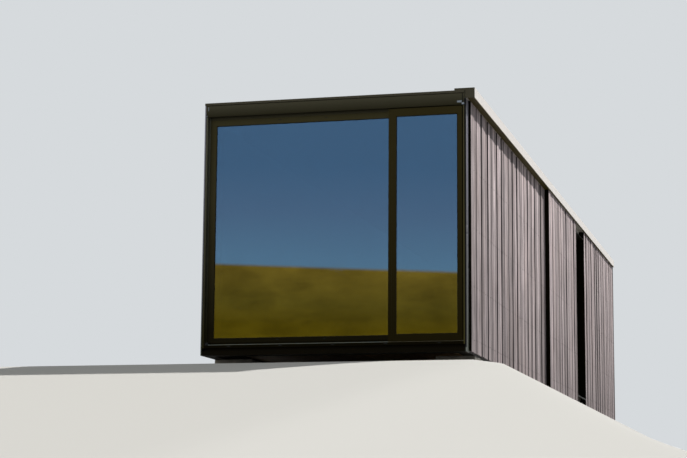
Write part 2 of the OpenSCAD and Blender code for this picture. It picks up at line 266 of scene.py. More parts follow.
def makeSilveredTimber():
    # rough-sawn boards left to weather: silver grey, streaked along the grain and split in fine dark checks,
    # with broad streaks of rain stain; the boards' sides are dark, partly their own unweathered wood and
    # partly painted shade, and painted shade also darkens each board towards its edges and from the eave down
    # to the foot
    material, tree, shader, place = newFinish("silvered rough-sawn timber")
    look = timberLook
    tone = addNode(tree, "ShaderNodeAttribute", {"attribute_name": "boardTone"}).outputs["Fac"]
    apart = addNode(tree, "ShaderNodeVectorMath", {"operation": "SCALE"}, {
        0: look["apart"], "Scale": tone}).outputs[0]
    shifted = addNode(tree, "ShaderNodeVectorMath", {"operation": "ADD"}, {0: place, 1: apart}).outputs[0]

    def streaks(wide, long, detail):
        mapped = addNode(tree, "ShaderNodeMapping", (), {
            "Vector": shifted, "Scale": patternScale(wide, wide, long)}).outputs[0]
        return addNode(tree, "ShaderNodeTexNoise", (), {
            "Vector": mapped, "Scale": 1.0, "Detail": detail, "Roughness": 0.62,
            "Distortion": 0.25}).outputs["Fac"]

    grain = streaks(look["grainWide"], look["grainLong"], 5.0)
    splits = streaks(look["checkWide"], look["checkLong"], 2.0)
    blotch = addNode(tree, "ShaderNodeTexNoise", (), {
        "Vector": shifted, "Scale": patternScale(look["blotch"]), "Detail": 3.0}).outputs["Fac"]
    ramp = [(0.30, look["dark"]), (0.48, look["body"]), (0.70, look["pale"])]
    colour = addNode(tree, "ShaderNodeValToRGB", {"ramp": ramp}, {"Fac": grain}).outputs["Color"]
    tint = addNode(tree, "ShaderNodeMapRange", (), {
        "Value": blotch, "From Min": 0.45, "From Max": 0.75, "To Min": 0.0,
        "To Max": look["browned"]}).outputs[0]
    colour = addNode(tree, "ShaderNodeMix", {"data_type": "RGBA"}, {
        0: tint, 6: colour, 7: toLinear(look["brown"])}).outputs[2]
    checks = addNode(tree, "ShaderNodeMapRange", (), {
        "Value": splits, "From Min": look["checkFrom"], "From Max": look["checkTo"], "To Min": 0.0,
        "To Max": look["checkDark"]}).outputs[0]
    colour = addNode(tree, "ShaderNodeMix", {"data_type": "RGBA"}, {
        0: checks, 6: colour, 7: toLinear(look["check"])}).outputs[2]
    weather = streaks(look["weatherWide"], look["weatherLong"], 2.0)
    edge = addNode(tree, "ShaderNodeAttribute", {"attribute_name": "boardEdge"}).outputs["Fac"]
    across = addNode(tree, "ShaderNodeAttribute", {"attribute_name": "acrossBoard"}).outputs["Fac"]
    height = addNode(tree, "ShaderNodeSeparateXYZ", (), {0: place}).outputs["Z"]
    for value, near, far, low, high in (
        (tone, 0.0, 1.0, look["duller"], look["brighter"]),
        (weather, 0.38, 0.62, look["stained"], look["washed"]),
        # painted shadow: the boards darken from the eave down to the foot
        (height, look["paintedShadeLevel"], look["highLevel"], look["paintedShadeFoot"], look["high"]),
        # painted shade towards each board's two edges, at the joints
        (across, look["edgeShadeFrom"], look["edgeShadeTo"], 1.0, look["edgeShade"]),
        # the sides' darkening: partly unweathered wood, partly painted shade
        (edge, 0.0, 1.0, 1.0, look["edge"]),
    ):
        shade = addNode(tree, "ShaderNodeMapRange", (), {
            "Value": value, "From Min": near, "From Max": far, "To Min": low, "To Max": high}).outputs[0]
        colour = addNode(tree, "ShaderNodeVectorMath", {"operation": "SCALE"}, {
            0: colour, "Scale": shade}).outputs[0]
    relief = addNode(tree, "ShaderNodeMath", {"operation": "SUBTRACT"}, {0: grain, 1: checks}).outputs[0]
    bump = addNode(tree, "ShaderNodeBump", (), {
        "Strength": 0.7, "Distance": 0.0015, "Height": relief}).outputs[0]
    feed(tree, shader, {
        "Base Color": colour, "Normal": bump, "Roughness": look["roughness"],
        "Specular IOR Level": look["gloss"]})
    return material


coatLook = {
    # top and foot colours are blended by height: painted shade towards the foot
    "top": "#3b3a2e", "foot": "#100e08", "topLevel": 2.1, "footLevel": 0.35, "wander": 0.4,
    "fleck": 1.1, "wipe": 260,  # mm
    "roughness": 0.46, "smoother": 0.06, "rougher": 0.08, "gloss": 0.12, "sheen": "#d9bd84",
}


def makeDarkCoat(name, **changes):
    # fine-textured bronze-black powder coat on folded metal: even and satin with a warm sheen, and darker
    # low down as painted shade
    look = dict(coatLook, **changes)
    material, tree, shader, place = newFinish(name)
    height = addNode(tree, "ShaderNodeSeparateXYZ", (), {0: place}).outputs["Z"]
    wipe = addNode(tree, "ShaderNodeTexNoise", (), {
        "Vector": place, "Scale": patternScale(look["wipe"]), "Detail": 4.0, "Roughness": 0.6}).outputs["Fac"]
    uneven = addNode(tree, "ShaderNodeMath", {"operation": "MULTIPLY_ADD"}, {
        0: wipe, 1: look["wander"], 2: height}).outputs[0]
    middle = look["wander"] / 2
    # painted shade: the coat darkens from its top colour down to its foot colour
    rise = addNode(tree, "ShaderNodeMapRange", (), {
        "Value": uneven, "From Min": look["footLevel"] + middle,
        "From Max": look["topLevel"] + middle}).outputs[0]
    colour = addNode(tree, "ShaderNodeMix", {"data_type": "RGBA"}, {
        0: rise, 6: toLinear(look["foot"]), 7: toLinear(look["top"])}).outputs[2]
    dull = addNode(tree, "ShaderNodeMapRange", (), {
        "Value": wipe, "From Min": 0.3, "From Max": 0.7, "To Min": look["roughness"] - look["smoother"],
        "To Max": look["roughness"] + look["rougher"]}).outputs[0]
    fleck = addNode(tree, "ShaderNodeTexNoise", (), {
        "Vector": place, "Scale": patternScale(look["fleck"]), "Detail": 1.0}).outputs["Fac"]
    bump = addNode(tree, "ShaderNodeBump", (), {
        "Strength": 0.18, "Distance": 0.0002, "Height": fleck}).outputs[0]
    feed(tree, shader, {
        "Base Color": colour, "Roughness": dull, "Normal": bump, "Specular IOR Level": look["gloss"],
        "Specular Tint": toLinear(look["sheen"])})
    return material


trackLook = {
    "lineLong": 167, "lineWide": 0.4,  # mm
    "dull": "#635f52", "bright": "#86816f", "smoothest": 0.26, "roughest": 0.42,
}


def makeTrackAluminium():
    # mill-finish aluminium rail, drawn along its length, which leaves fine lines, and dulled by dust
    material, tree, shader, place = newFinish("mill-finish aluminium")
    look = trackLook
    mapped = addNode(tree, "ShaderNodeMapping", (), {
        "Vector": place,
        "Scale": patternScale(look["lineLong"], look["lineWide"], look["lineWide"])}).outputs[0]
    drawn = addNode(tree, "ShaderNodeTexNoise", (), {
        "Vector": mapped, "Scale": 1.0, "Detail": 2.0}).outputs["Fac"]
    colour = addNode(tree, "ShaderNodeValToRGB", {
        "ramp": [(0.3, look["dull"]), (0.7, look["bright"])]}, {"Fac": drawn}).outputs["Color"]
    dull = addNode(tree, "ShaderNodeMapRange", (), {
        "Value": drawn, "To Min": look["smoothest"], "To Max": look["roughest"]}).outputs[0]
    feed(tree, shader, {"Base Color": colour, "Roughness": dull, "Metallic": 1.0})
    return material


zincLook = {
    "cloud": 8.3,  # mm
    "dull": "#777d82", "bright": "#8e9397", "smoothest": 0.40, "roughest": 0.55, "metallic": 0.25,
}


def makeZincPlate():
    # zinc plating on small fixings, dulled by weather: blue-grey, faintly clouded and hardly a mirror
    material, tree, shader, place = newFinish("dulled zinc plate")
    look = zincLook
    cloud = addNode(tree, "ShaderNodeTexNoise", (), {
        "Vector": place, "Scale": patternScale(look["cloud"]), "Detail": 3.0}).outputs["Fac"]
    colour = addNode(tree, "ShaderNodeValToRGB", {
        "ramp": [(0.3, look["dull"]), (0.7, look["bright"])]}, {"Fac": cloud}).outputs["Color"]
    dull = addNode(tree, "ShaderNodeMapRange", (), {
        "Value": cloud, "To Min": look["smoothest"], "To Max": look["roughest"]}).outputs[0]
    feed(tree, shader, {"Base Color": colour, "Roughness": dull, "Metallic": look["metallic"]})
    return material


gutterLook = {
    "coat": "#f8f4f0", "grime": "#a39c92", "soiling": 0.30, "dustAndShade": 0.5,
    "streakWide": 45, "streakLong": 400,  # mm
    "sheetLong": 3.0, "firstLap": 6.19, "lapFrom": 0.003, "lapTo": 0.001, "lapDark": 0.6,  # metres
}


def makePaleCoat(name, **changes):
    # off-white coated steel in three-metre lengths: clean and satin, with faint runs of dirt, a dark lap
    # joint, and a darker tone on what faces up that is partly dust and partly painted shade
    look = dict(gutterLook, **changes)
    material, tree, shader, place = newFinish(name)
    mapped = addNode(tree, "ShaderNodeMapping", (), {
        "Vector": place,
        "Scale": patternScale(look["streakWide"], look["streakWide"], look["streakLong"])}).outputs[0]
    runs = addNode(tree, "ShaderNodeTexNoise", (), {
        "Vector": mapped, "Scale": 1.0, "Detail": 4.0, "Roughness": 0.65}).outputs["Fac"]
    dirt = addNode(tree, "ShaderNodeMapRange", (), {
        "Value": runs, "From Min": 0.55, "From Max": 0.85, "To Min": 0.0,
        "To Max": look["soiling"]}).outputs[0]
    along = addNode(tree, "ShaderNodeSeparateXYZ", (), {0: place}).outputs["Y"]
    shifted = addNode(tree, "ShaderNodeMath", {"operation": "ADD"}, {
        0: along, 1: look["firstLap"]}).outputs[0]
    half = look["sheetLong"] / 2
    wrapped = addNode(tree, "ShaderNodeMath", {"operation": "PINGPONG"}, {0: shifted, 1: half}).outputs[0]
    lap = addNode(tree, "ShaderNodeMapRange", (), {
        "Value": wrapped, "From Min": half - look["lapFrom"], "From Max": half - look["lapTo"], "To Min": 0.0,
        "To Max": look["lapDark"]}).outputs[0]
    soiled = addNode(tree, "ShaderNodeMath", {"operation": "MAXIMUM"}, {0: dirt, 1: lap}).outputs[0]
    facing = addNode(tree, "ShaderNodeNewGeometry").outputs["Normal"]
    facing = addNode(tree, "ShaderNodeSeparateXYZ", (), {0: facing}).outputs["Z"]
    # darker on what faces up: partly dust, partly painted shade
    dustAndShade = addNode(tree, "ShaderNodeMapRange", (), {
        "Value": facing, "From Min": 0.5, "From Max": 0.9, "To Min": 0.0, "To Max": look["dustAndShade"]}).outputs[0]
    soiled = addNode(tree, "ShaderNodeMath", {"operation": "MAXIMUM"}, {0: soiled, 1: dustAndShade}).outputs[0]
    colour = addNode(tree, "ShaderNodeMix", {"data_type": "RGBA"}, {
        0: soiled, 6: toLinear(look["coat"]), 7: toLinear(look["grime"])}).outputs[2]
    dull = addNode(tree, "ShaderNodeMapRange", (), {"Value": runs, "To Min": 0.3, "To Max": 0.5}).outputs[0]
    feed(tree, shader, {"Base Color": colour, "Roughness": dull})
    return material


roofCoatLook = {
    "runLong": 1250, "runWide": 200,  # mm
    "dark": "#777a79", "body": "#818382", "pale": "#8a8c8a", "smoothest": 0.4, "roughest": 0.62,
}


def makeRoofCoat():
    # grey coated roof sheet, slightly chalked, with darker runs down the fall
    material, tree, shader, place = newFinish("grey coated roof sheet")
    look = roofCoatLook
    mapped = addNode(tree, "ShaderNodeMapping", (), {
        "Vector": place, "Scale": patternScale(look["runLong"], look["runWide"], look["runLong"])}).outputs[0]
    runs = addNode(tree, "ShaderNodeTexNoise", (), {
        "Vector": mapped, "Scale": 1.0, "Detail": 5.0, "Roughness": 0.6}).outputs["Fac"]
    ramp = [(0.2, look["dark"]), (0.5, look["body"]), (0.8, look["pale"])]
    colour = addNode(tree, "ShaderNodeValToRGB", {"ramp": ramp}, {"Fac": runs}).outputs["Color"]
    dull = addNode(tree, "ShaderNodeMapRange", (), {
        "Value": runs, "To Min": look["smoothest"], "To Max": look["roughest"]}).outputs[0]
    feed(tree, shader, {"Base Color": colour, "Roughness": dull})
    return material


concreteLook = {
    "blotch": 143, "sand": 2.4, "airHole": 18,  # mm
    "dark": "#5f5d57", "body": "#75726b", "pale": "#86837a", "inHoles": 0.55, "roughness": 0.9,
}


def makeConcrete():
    # cast concrete: blotched grey with fine sand and small air holes, its grey darkened as painted shade
    # under the cabin
    material, tree, shader, place = newFinish("cast concrete")
    look = concreteLook
    blotch = addNode(tree, "ShaderNodeTexNoise", (), {
        "Vector": place, "Scale": patternScale(look["blotch"]), "Detail": 6.0}).outputs["Fac"]
    sand = addNode(tree, "ShaderNodeTexNoise", (), {
        "Vector": place, "Scale": patternScale(look["sand"]), "Detail": 2.0}).outputs["Fac"]
    holes = addNode(tree, "ShaderNodeTexVoronoi", {"feature": "F1"}, {
        "Vector": place, "Scale": patternScale(look["airHole"])}).outputs["Distance"]
    ramp = [(0.3, look["dark"]), (0.55, look["body"]), (0.75, look["pale"])]
    colour = addNode(tree, "ShaderNodeValToRGB", {"ramp": ramp}, {"Fac": blotch}).outputs["Color"]
    pit = addNode(tree, "ShaderNodeMapRange", (), {
        "Value": holes, "From Min": 0.06, "From Max": 0.14, "To Min": look["inHoles"],
        "To Max": 1.0}).outputs[0]
    colour = addNode(tree, "ShaderNodeVectorMath", {"operation": "SCALE"}, {
        0: colour, "Scale": pit}).outputs[0]
    relief = addNode(tree, "ShaderNodeMath", {"operation": "MULTIPLY"}, {0: sand, 1: pit}).outputs[0]
    bump = addNode(tree, "ShaderNodeBump", (), {
        "Strength": 0.5, "Distance": 0.001, "Height": relief}).outputs[0]
    feed(tree, shader, {"Base Color": colour, "Normal": bump, "Roughness": look["roughness"]})
    return material


baseSteelLook = {
    "spot": 26,  # mm
    "paint": "#0c0a06", "rust": "#422613", "sheen": "#d9bd84", "gloss": 0.07, "onPaint": 0.5, "onRust": 0.85,
}


def makeBaseSteel():
    # black-brown painted steel of the container's base, with small spots of rust
    material, tree, shader, place = newFinish("painted base steel")
    look = baseSteelLook
    spots = addNode(tree, "ShaderNodeTexNoise", (), {
        "Vector": place, "Scale": patternScale(look["spot"]), "Detail": 6.0, "Roughness": 0.7}).outputs["Fac"]
    rust = addNode(tree, "ShaderNodeMapRange", (), {
        "Value": spots, "From Min": 0.64, "From Max": 0.72, "To Min": 0.0, "To Max": 0.8}).outputs[0]
    colour = addNode(tree, "ShaderNodeMix", {"data_type": "RGBA"}, {
        0: rust, 6: toLinear(look["paint"]), 7: toLinear(look["rust"])}).outputs[2]
    dull = addNode(tree, "ShaderNodeMapRange", (), {
        "Value": rust, "To Min": look["onPaint"], "To Max": look["onRust"]}).outputs[0]
    bump = addNode(tree, "ShaderNodeBump", (), {
        "Strength": 0.3, "Distance": 0.0006, "Height": spots}).outputs[0]
    feed(tree, shader, {
        "Base Color": colour, "Roughness": dull, "Normal": bump, "Specular IOR Level": look["gloss"],
        "Specular Tint": toLinear(look["sheen"])})
    return material


liningLook = {
    "sheet": 1.22, "joint": 0.003,
    "rollerMark": 3.3, "patch": 770,  # mm
    "roughness": 0.75,
}


def makeLining(name, paint, jointColour):
    # painted boards with a fine shadow joint between the sheets, which stand side by side along the room
    material, tree, shader, place = newFinish(name)
    look = liningLook
    along = addNode(tree, "ShaderNodeSeparateXYZ", (), {0: place}).outputs["Y"]
    wrapped = addNode(tree, "ShaderNodeMath", {"operation": "PINGPONG"}, {
        0: along, 1: look["sheet"] / 2}).outputs[0]
    joint = addNode(tree, "ShaderNodeMapRange", (), {
        "Value": wrapped, "From Min": 0.0, "From Max": look["joint"] / 2, "To Min": 1.0,
        "To Max": 0.0}).outputs[0]
    roller = addNode(tree, "ShaderNodeTexNoise", (), {
        "Vector": place, "Scale": patternScale(look["rollerMark"]), "Detail": 2.0}).outputs["Fac"]
    patch = addNode(tree, "ShaderNodeTexNoise", (), {
        "Vector": place, "Scale": patternScale(look["patch"]), "Detail": 3.0}).outputs["Fac"]
    wall = addNode(tree, "ShaderNodeMix", {"data_type": "RGBA"}, {
        0: patch, 6: toLinear(paint[0]), 7: toLinear(paint[1])}).outputs[2]
    colour = addNode(tree, "ShaderNodeMix", {"data_type": "RGBA"}, {
        0: joint, 6: wall, 7: toLinear(jointColour)}).outputs[2]
    relief = addNode(tree, "ShaderNodeMath", {"operation": "SUBTRACT"}, {0: roller, 1: joint}).outputs[0]
    bump = addNode(tree, "ShaderNodeBump", (), {
        "Strength": 0.15, "Distance": 0.0006, "Height": relief}).outputs[0]
    feed(tree, shader, {"Base Color": colour, "Normal": bump, "Roughness": look["roughness"]})
    return material


floorLook = {
    "plank": 0.19, "length": 2.2, "joint": 0.0012, "pale": "#ae8f66", "dark": "#80613e", "gap": "#33251a",
    "grainWide": 6.25, "grainLong": 312.5,  # mm
    "darker": 0.72, "lighter": 1.18, "roughness": 0.5,
}


def makeFloorTimber():
    # oiled planks along the room: warm brown, each a little different, with a fine dark joint
    material, tree, shader, place = newFinish("oiled floor planks")
    look = floorLook
    swapped = addNode(tree, "ShaderNodeMapping", (), {
        "Vector": place, "Rotation": (0, 0, math.pi / 2)}).outputs[0]
    planks = addNode(tree, "ShaderNodeTexBrick", {"offset": 0.37}, {
        "Vector": swapped, "Color1": toLinear(look["pale"]), "Color2": toLinear(look["dark"]),
        "Mortar": toLinear(look["gap"]), "Scale": 1.0, "Mortar Size": look["joint"], "Mortar Smooth": 0.1,
        "Brick Width": look["length"], "Row Height": look["plank"]})
    mapped = addNode(tree, "ShaderNodeMapping", (), {
        "Vector": place,
        "Scale": patternScale(look["grainWide"], look["grainLong"], look["grainWide"])}).outputs[0]
    grain = addNode(tree, "ShaderNodeTexNoise", (), {
        "Vector": mapped, "Scale": 1.0, "Detail": 5.0, "Roughness": 0.6}).outputs["Fac"]
    depth = addNode(tree, "ShaderNodeMapRange", (), {
        "Value": grain, "To Min": look["darker"], "To Max": look["lighter"]}).outputs[0]
    colour = addNode(tree, "ShaderNodeVectorMath", {"operation": "SCALE"}, {
        0: planks.outputs["Color"], "Scale": depth}).outputs[0]
    relief = addNode(tree, "ShaderNodeMath", {"operation": "SUBTRACT"}, {
        0: grain, 1: planks.outputs["Fac"]}).outputs[0]
    bump = addNode(tree, "ShaderNodeBump", (), {
        "Strength": 0.25, "Distance": 0.0008, "Height": relief}).outputs[0]
    feed(tree, shader, {"Base Color": colour, "Normal": bump, "Roughness": look["roughness"]})
    return material


glassLook = {
    "smear": 385,  # mm
    "tint": "#899597", "index": 2.2, "haze": 0.035,
}


def makeSolarGlass():
    # solar-control glass: dark grey-green through its thickness, and more of a mirror than clear glass
    material, tree, shader, place = newFinish("solar-control glass")
    look = glassLook
    smear = addNode(tree, "ShaderNodeTexNoise", (), {
        "Vector": place, "Scale": patternScale(look["smear"]), "Detail": 5.0}).outputs["Fac"]
    haze = addNode(tree, "ShaderNodeMapRange", (), {
        "Value": smear, "From Min": 0.5, "From Max": 0.8, "To Min": 0.0, "To Max": look["haze"]}).outputs[0]
    feed(tree, shader, {
        "Roughness": haze, "Base Color": toLinear(look["tint"]), "Transmission Weight": 1.0,
        "IOR": look["index"]})
    return material


rubberLook = {
    "drag": 11,  # mm
    "uneven": 0.1, "gloss": 0.12,
}


def makeRubber(name, colour, roughness):
    # extruded seal or moulded nylon: near black, with a faint drag along it
    material, tree, shader, place = newFinish(name)
    look = rubberLook
    drag = addNode(tree, "ShaderNodeTexNoise", (), {
        "Vector": place, "Scale": patternScale(look["drag"]), "Detail": 3.0}).outputs["Fac"]
    dull = addNode(tree, "ShaderNodeMapRange", (), {
        "Value": drag, "To Min": roughness - look["uneven"], "To Max": roughness + look["uneven"]}).outputs[0]
    bump = addNode(tree, "ShaderNodeBump", (), {
        "Strength": 0.1, "Distance": 0.0003, "Height": drag}).outputs[0]
    feed(tree, shader, {
        "Roughness": dull, "Normal": bump, "Base Color": toLinear(colour),
        "Specular IOR Level": look["gloss"]})
    return material


silveredTimber = makeSilveredTimber()
darkCoat = makeDarkCoat("dark satin powder coat")
capCoat = makeDarkCoat("dark flashing coat", top="#46443a", foot="#2e2c22")
# a real dark trim, made darker and olive as painted shade
soffitCoatWithPaintedShade = makeDarkCoat("olive soffit coat with painted shade", top="#443b10", foot="#38300d")
# painted shade: the fascia's coat darkens over its lower part
fasciaCoat = makeDarkCoat(
    "olive-grey fascia coat", top="#434236", foot="#1d1b0e", topLevel=2.68, footLevel=2.555, wander=0.02)
# one coat in two tones, as painted light: the fixed sash's is lighter than the sliding sash's
fixedCoat = makeDarkCoat(
    "dark coat of the fixed sash", top="#3a3724", foot="#0f0d05", topLevel=1.75, footLevel=0.40,
    roughness=0.42)
slidingCoat = makeDarkCoat("dark coat of the sliding sash", top="#2e2914", foot="#171303", roughness=0.42)
# the left jamb's coat is lighter as painted light on its shaded inner face, and the right jamb's coat is
# as light at the sill as at its top
leftJambCoat = makeDarkCoat("dark coat of the left jamb", top="#5b5c50", foot="#2c2a18")
rightJambCoat = makeDarkCoat("dark coat of the right jamb", top="#4a4733", foot="#4a4626")
# near black all over, as painted shade on the sill and on the cladding's trims
paintedShadeBlackCoat = makeDarkCoat("near-black coat as painted shade", top="#100e06", foot="#0c0a03", gloss=0.05)
# the frame's dark coat painted pale blue-grey, darker low down: a painted reflection of the sky
cheekCoatPaintedReflection = makeDarkCoat(
    "cheek plate coat with painted reflection", top="#83828f", foot="#3c4135", topLevel=2.0, footLevel=0.2, wander=0.1,
    wipe=900, roughness=0.30, gloss=0.35, sheen="#ffffff")
trackAluminium = makeTrackAluminium()
paleCoat = makePaleCoat("off-white coated steel")
# the trough's floor, where water and dust have lain
troughCoat = makePaleCoat("stained off-white steel", coat="#c9c3b8", grime="#6f675b", soiling=0.75)
roofCoat = makeRoofCoat()
concrete = makeConcrete()
baseSteel = makeBaseSteel()
wallLining = makeLining("painted wall boards", ("#bdbbb4", "#cbc9c2"), "#77756f")
ceilingLining = makeLining("painted ceiling boards", ("#d6d4ce", "#e0deda"), "#8d8b86")
floorTimber = makeFloorTimber()
solarGlass = makeSolarGlass()
seal = makeRubber("black glazing seal", "#080805", 0.6)
membrane = makeRubber("black breather membrane", "#0b0b0a", 0.9)
nylon = makeRubber("moulded nylon", "#1d1d1b", 0.5)
zincPlate = makeZincPlate()
print("finishes made")


# The solids that keep their shape

for finish, names in (
    (baseSteel, ("base_rail_left", "base_rail_right", "front_channel", "cross_beams")),
    (floorTimber, ("floor_deck",)),
    (wallLining, ("corner_post_left", "corner_post_right", "left_wall", "right_wall_front", "right_wall_rear",
                  "back_wall", "roof_deck")),
    (ceilingLining, ("ceiling",)),
    (silveredTimber, ("cladding_battens",)),
    (darkCoat, ("door_head", "door_head_inner", "slot_window_frame")),
    (leftJambCoat, ("door_jamb_left",)),
    (rightJambCoat, ("door_jamb_right",)),
    (capCoat, ("gutter_stop_ends",)),
    (fasciaCoat, ("front_kerb", "front_fascia")),
    (cheekCoatPaintedReflection, ("cheek_left", "cheek_right")),
    (paintedShadeBlackCoat, ("door_sill", "door_sill_inner")),
    (fixedCoat, ("fixed_sash_frame",)),
    (slidingCoat, ("sliding_sash_frame",)),
    (trackAluminium, ("door_track",)),
    (paleCoat, ("gutter_sides",)),
    (troughCoat, ("gutter_floor",)),
    (roofCoat, ("roof_sheet",)),
    (nylon, ("glides",)),
):
    for name in names:
        slots = cadNodes[name].data.materials
        slots.clear()
        slots.append(finish)
print("solids coated")


# Cladding

boardLook = {
    "narrow": 0.098, "wide": 0.172, "gap": 0.005, "openGap": 0.0125, "openEvery": 5,
    "lean": 0.0012, "spread": 0.0055,  # out of plumb at either end, and more beside a wider joint
    "arris": 0.0022, "sawMarks": 0.0014, "wander": 0.0025, "behind": 0.0015,
    "thin": (0.50, 0.58), "middling": (0.64, 0.74), "thick": (0.80, 0.92),  # shares of the full thickness
    # the boards beside a step get a dull tone: a painted shadow of the step
    "thickAbove": 0.77, "stepShadowTone": 0.1,
    "nailRadius": 0.0042, "nailProud": 0.0014, "nailLift": 0.0001, "nailRows": (0.13, 0.66, 1.25, 1.84, 2.38),
    "nailInset": 0.022, "nailAside": 0.004, "nailUp": 0.006,  # how far a nail strays from its place
    "laps": (0.80, 1.60), "lapLong": 0.15, "lapBevel": 0.001,  # the membrane's upper courses
    # one board's mesh, and how closely its points crowd to its edges
    "pointsAcross": 7, "pointsThrough": 2, "pointsUp": 17, "crowding": 2.2, "outermost": 0.49,
    # the saw's marks and the bow of a board, as waves to the metre, and the shift from board to board
    "sawWaves": (45.0, 45.0, 2.2), "bowWaves": (0.0, 0.0, 0.9), "apart": (61.0, 0.0, 47.0),
    "sawMiddle": 0.45, "bowMiddle": 0.5,
}
# widths along the front section, in mm, with the wider joints after these boards
frontWidths = [
    184, 150, 165, 115, 115, 111, 144, 110, 105, 115, 110, 110, 100, 100, 84, 96, 91, 134, 135, 140,
    135, 145, 170, 110, 105, 135, 160, 130, 120, 165, 150, 115, 120, 160, 160, 175, 125, 130, 96,
]
frontOpen = [3, 6, 11, 14, 20, 22, 28, 32, 35]


def makeBoardTree():
    look = boardLook
    tree, start = newGroup("boards on a wall", [
        ("Height", "NodeSocketFloat", 2.5), ("Thickness", "NodeSocketFloat", 0.018),
        ("Arris", "NodeSocketFloat", 0.002), ("Saw Marks", "NodeSocketFloat", 0.001),
        ("Wander", "NodeSocketFloat", 0.003), ("Material", "NodeSocketMaterial", None)])
    size = start.outputs
    extent = addNode(tree, "ShaderNodeCombineXYZ", (), {
        0: 1.0, 1: size["Thickness"], 2: size["Height"]}).outputs[0]
    board = addNode(tree, "GeometryNodeMeshCube", (), {
        "Size": extent, "Vertices X": look["pointsAcross"], "Vertices Y": look["pointsThrough"],
        "Vertices Z": look["pointsUp"]}).outputs["Mesh"]
    # mark the board's sides, which the timber finish darkens, partly as painted shade
    facing = addNode(tree, "GeometryNodeInputNormal").outputs[0]
    facing = addNode(tree, "ShaderNodeSeparateXYZ", (), {0: facing}).outputs["X"]
    edge = addNode(tree, "ShaderNodeMath", {"operation": "ABSOLUTE"}, {0: facing}).outputs[0]
    board = addNode(tree, "GeometryNodeStoreNamedAttribute", {"data_type": "FLOAT", "domain": "FACE"}, {
        "Geometry": board, "Name": "boardEdge", "Value": edge}).outputs["Geometry"]
    # rows of points are drawn out to the edges, and the outermost row is pushed back to round the arris
    point = addNode(tree, "GeometryNodeInputPosition").outputs[0]
    at = addNode(tree, "ShaderNodeSeparateXYZ", (), {0: point}).outputs
    side = addNode(tree, "ShaderNodeMath", {"operation": "SIGN"}, {0: at["X"]}).outputs[0]
    away = addNode(tree, "ShaderNodeMath", {"operation": "ABSOLUTE"}, {0: at["X"]}).outputs[0]
    inward = addNode(tree, "ShaderNodeMath", {"operation": "MULTIPLY_ADD"}, {
        0: away, 1: -2.0, 2: 1.0}).outputs[0]
    curved = addNode(tree, "ShaderNodeMath", {"operation": "POWER"}, {
        0: inward, 1: look["crowding"]}).outputs[0]
    outward = addNode(tree, "ShaderNodeMath", {"operation": "MULTIPLY_ADD"}, {
        0: curved, 1: -0.5, 2: 0.5}).outputs[0]
    board = addNode(tree, "GeometryNodeStoreNamedAttribute", {"data_type": "FLOAT", "domain": "POINT"}, {
        "Geometry": board, "Name": "acrossBoard", "Value": outward}).outputs["Geometry"]
    spread = addNode(tree, "ShaderNodeMath", {"operation": "MULTIPLY"}, {0: outward, 1: side}).outputs[0]
    isFront = addNode(tree, "ShaderNodeMath", {"operation": "LESS_THAN"}, {0: at["Y"], 1: 0.0}).outputs[0]
    isEdge = addNode(tree, "ShaderNodeMath", {"operation": "GREATER_THAN"}, {
        0: away, 1: look["outermost"]}).outputs[0]
    both = addNode(tree, "ShaderNodeMath", {"operation": "MULTIPLY"}, {0: isFront, 1: isEdge}).outputs[0]
    back = addNode(tree, "ShaderNodeMath", {"operation": "MULTIPLY_ADD"}, {
        0: both, 1: size["Arris"], 2: at["Y"]}).outputs[0]
    eased = addNode(tree, "ShaderNodeCombineXYZ", (), {0: spread, 1: back, 2: at["Z"]}).outputs[0]
    board = addNode(tree, "GeometryNodeSetPosition", (), {"Geometry": board, "Position": eased}).outputs[0]
    width, depth = (addNode(tree, "GeometryNodeInputNamedAttribute", {"data_type": "FLOAT"}, {
        "Name": name}).outputs[0] for name in ("boardWidth", "boardDepth"))
    scale = addNode(tree, "ShaderNodeCombineXYZ", (), {0: width, 1: depth, 2: 1.0}).outputs[0]
    placed = addNode(tree, "GeometryNodeInstanceOnPoints", (), {
        "Points": size["Geometry"], "Instance": board, "Scale": scale}).outputs["Instances"]

    def roughen(mesh):
        tone, lean = (addNode(tree, "GeometryNodeInputNamedAttribute", {"data_type": "FLOAT"}, {
            "Name": name}).outputs[0] for name in ("boardTone", "boardLean"))
        place = addNode(tree, "GeometryNodeInputPosition").outputs[0]
        apart = addNode(tree, "ShaderNodeVectorMath", {"operation": "SCALE"}, {
            0: look["apart"], "Scale": tone}).outputs[0]
        pushes = []
        for waves, detail, middle, reach in (
            ("sawWaves", 2.0, "sawMiddle", "Saw Marks"),
            ("bowWaves", 1.0, "bowMiddle", "Wander"),
        ):
            spaced = addNode(tree, "ShaderNodeVectorMath", {"operation": "MULTIPLY_ADD"}, {
                0: place, 1: look[waves], 2: apart}).outputs[0]
            marks = addNode(tree, "ShaderNodeTexNoise", (), {
                "Vector": spaced, "Scale": 1.0, "Detail": detail}).outputs["Fac"]
            marks = addNode(tree, "ShaderNodeMath", {"operation": "SUBTRACT"}, {
                0: marks, 1: look[middle]}).outputs[0]
            pushes.append(addNode(tree, "ShaderNodeMath", {"operation": "MULTIPLY"}, {
                0: marks, 1: size[reach]}).outputs[0])
        out, aside = pushes
        level = addNode(tree, "ShaderNodeSeparateXYZ", (), {0: place}).outputs["Z"]
        share = addNode(tree, "ShaderNodeMapRange", (), {
            "Value": level, "From Min": 0.0, "From Max": size["Height"], "To Min": -1.0,
            "To Max": 1.0}).outputs[0]
        aside = addNode(tree, "ShaderNodeMath", {"operation": "MULTIPLY_ADD"}, {
            0: lean, 1: share, 2: aside}).outputs[0]
        offset = addNode(tree, "ShaderNodeCombineXYZ", (), {0: aside, 1: out, 2: 0.0}).outputs[0]
        return addNode(tree, "GeometryNodeSetPosition", (), {"Geometry": mesh, "Offset": offset}).outputs[0]

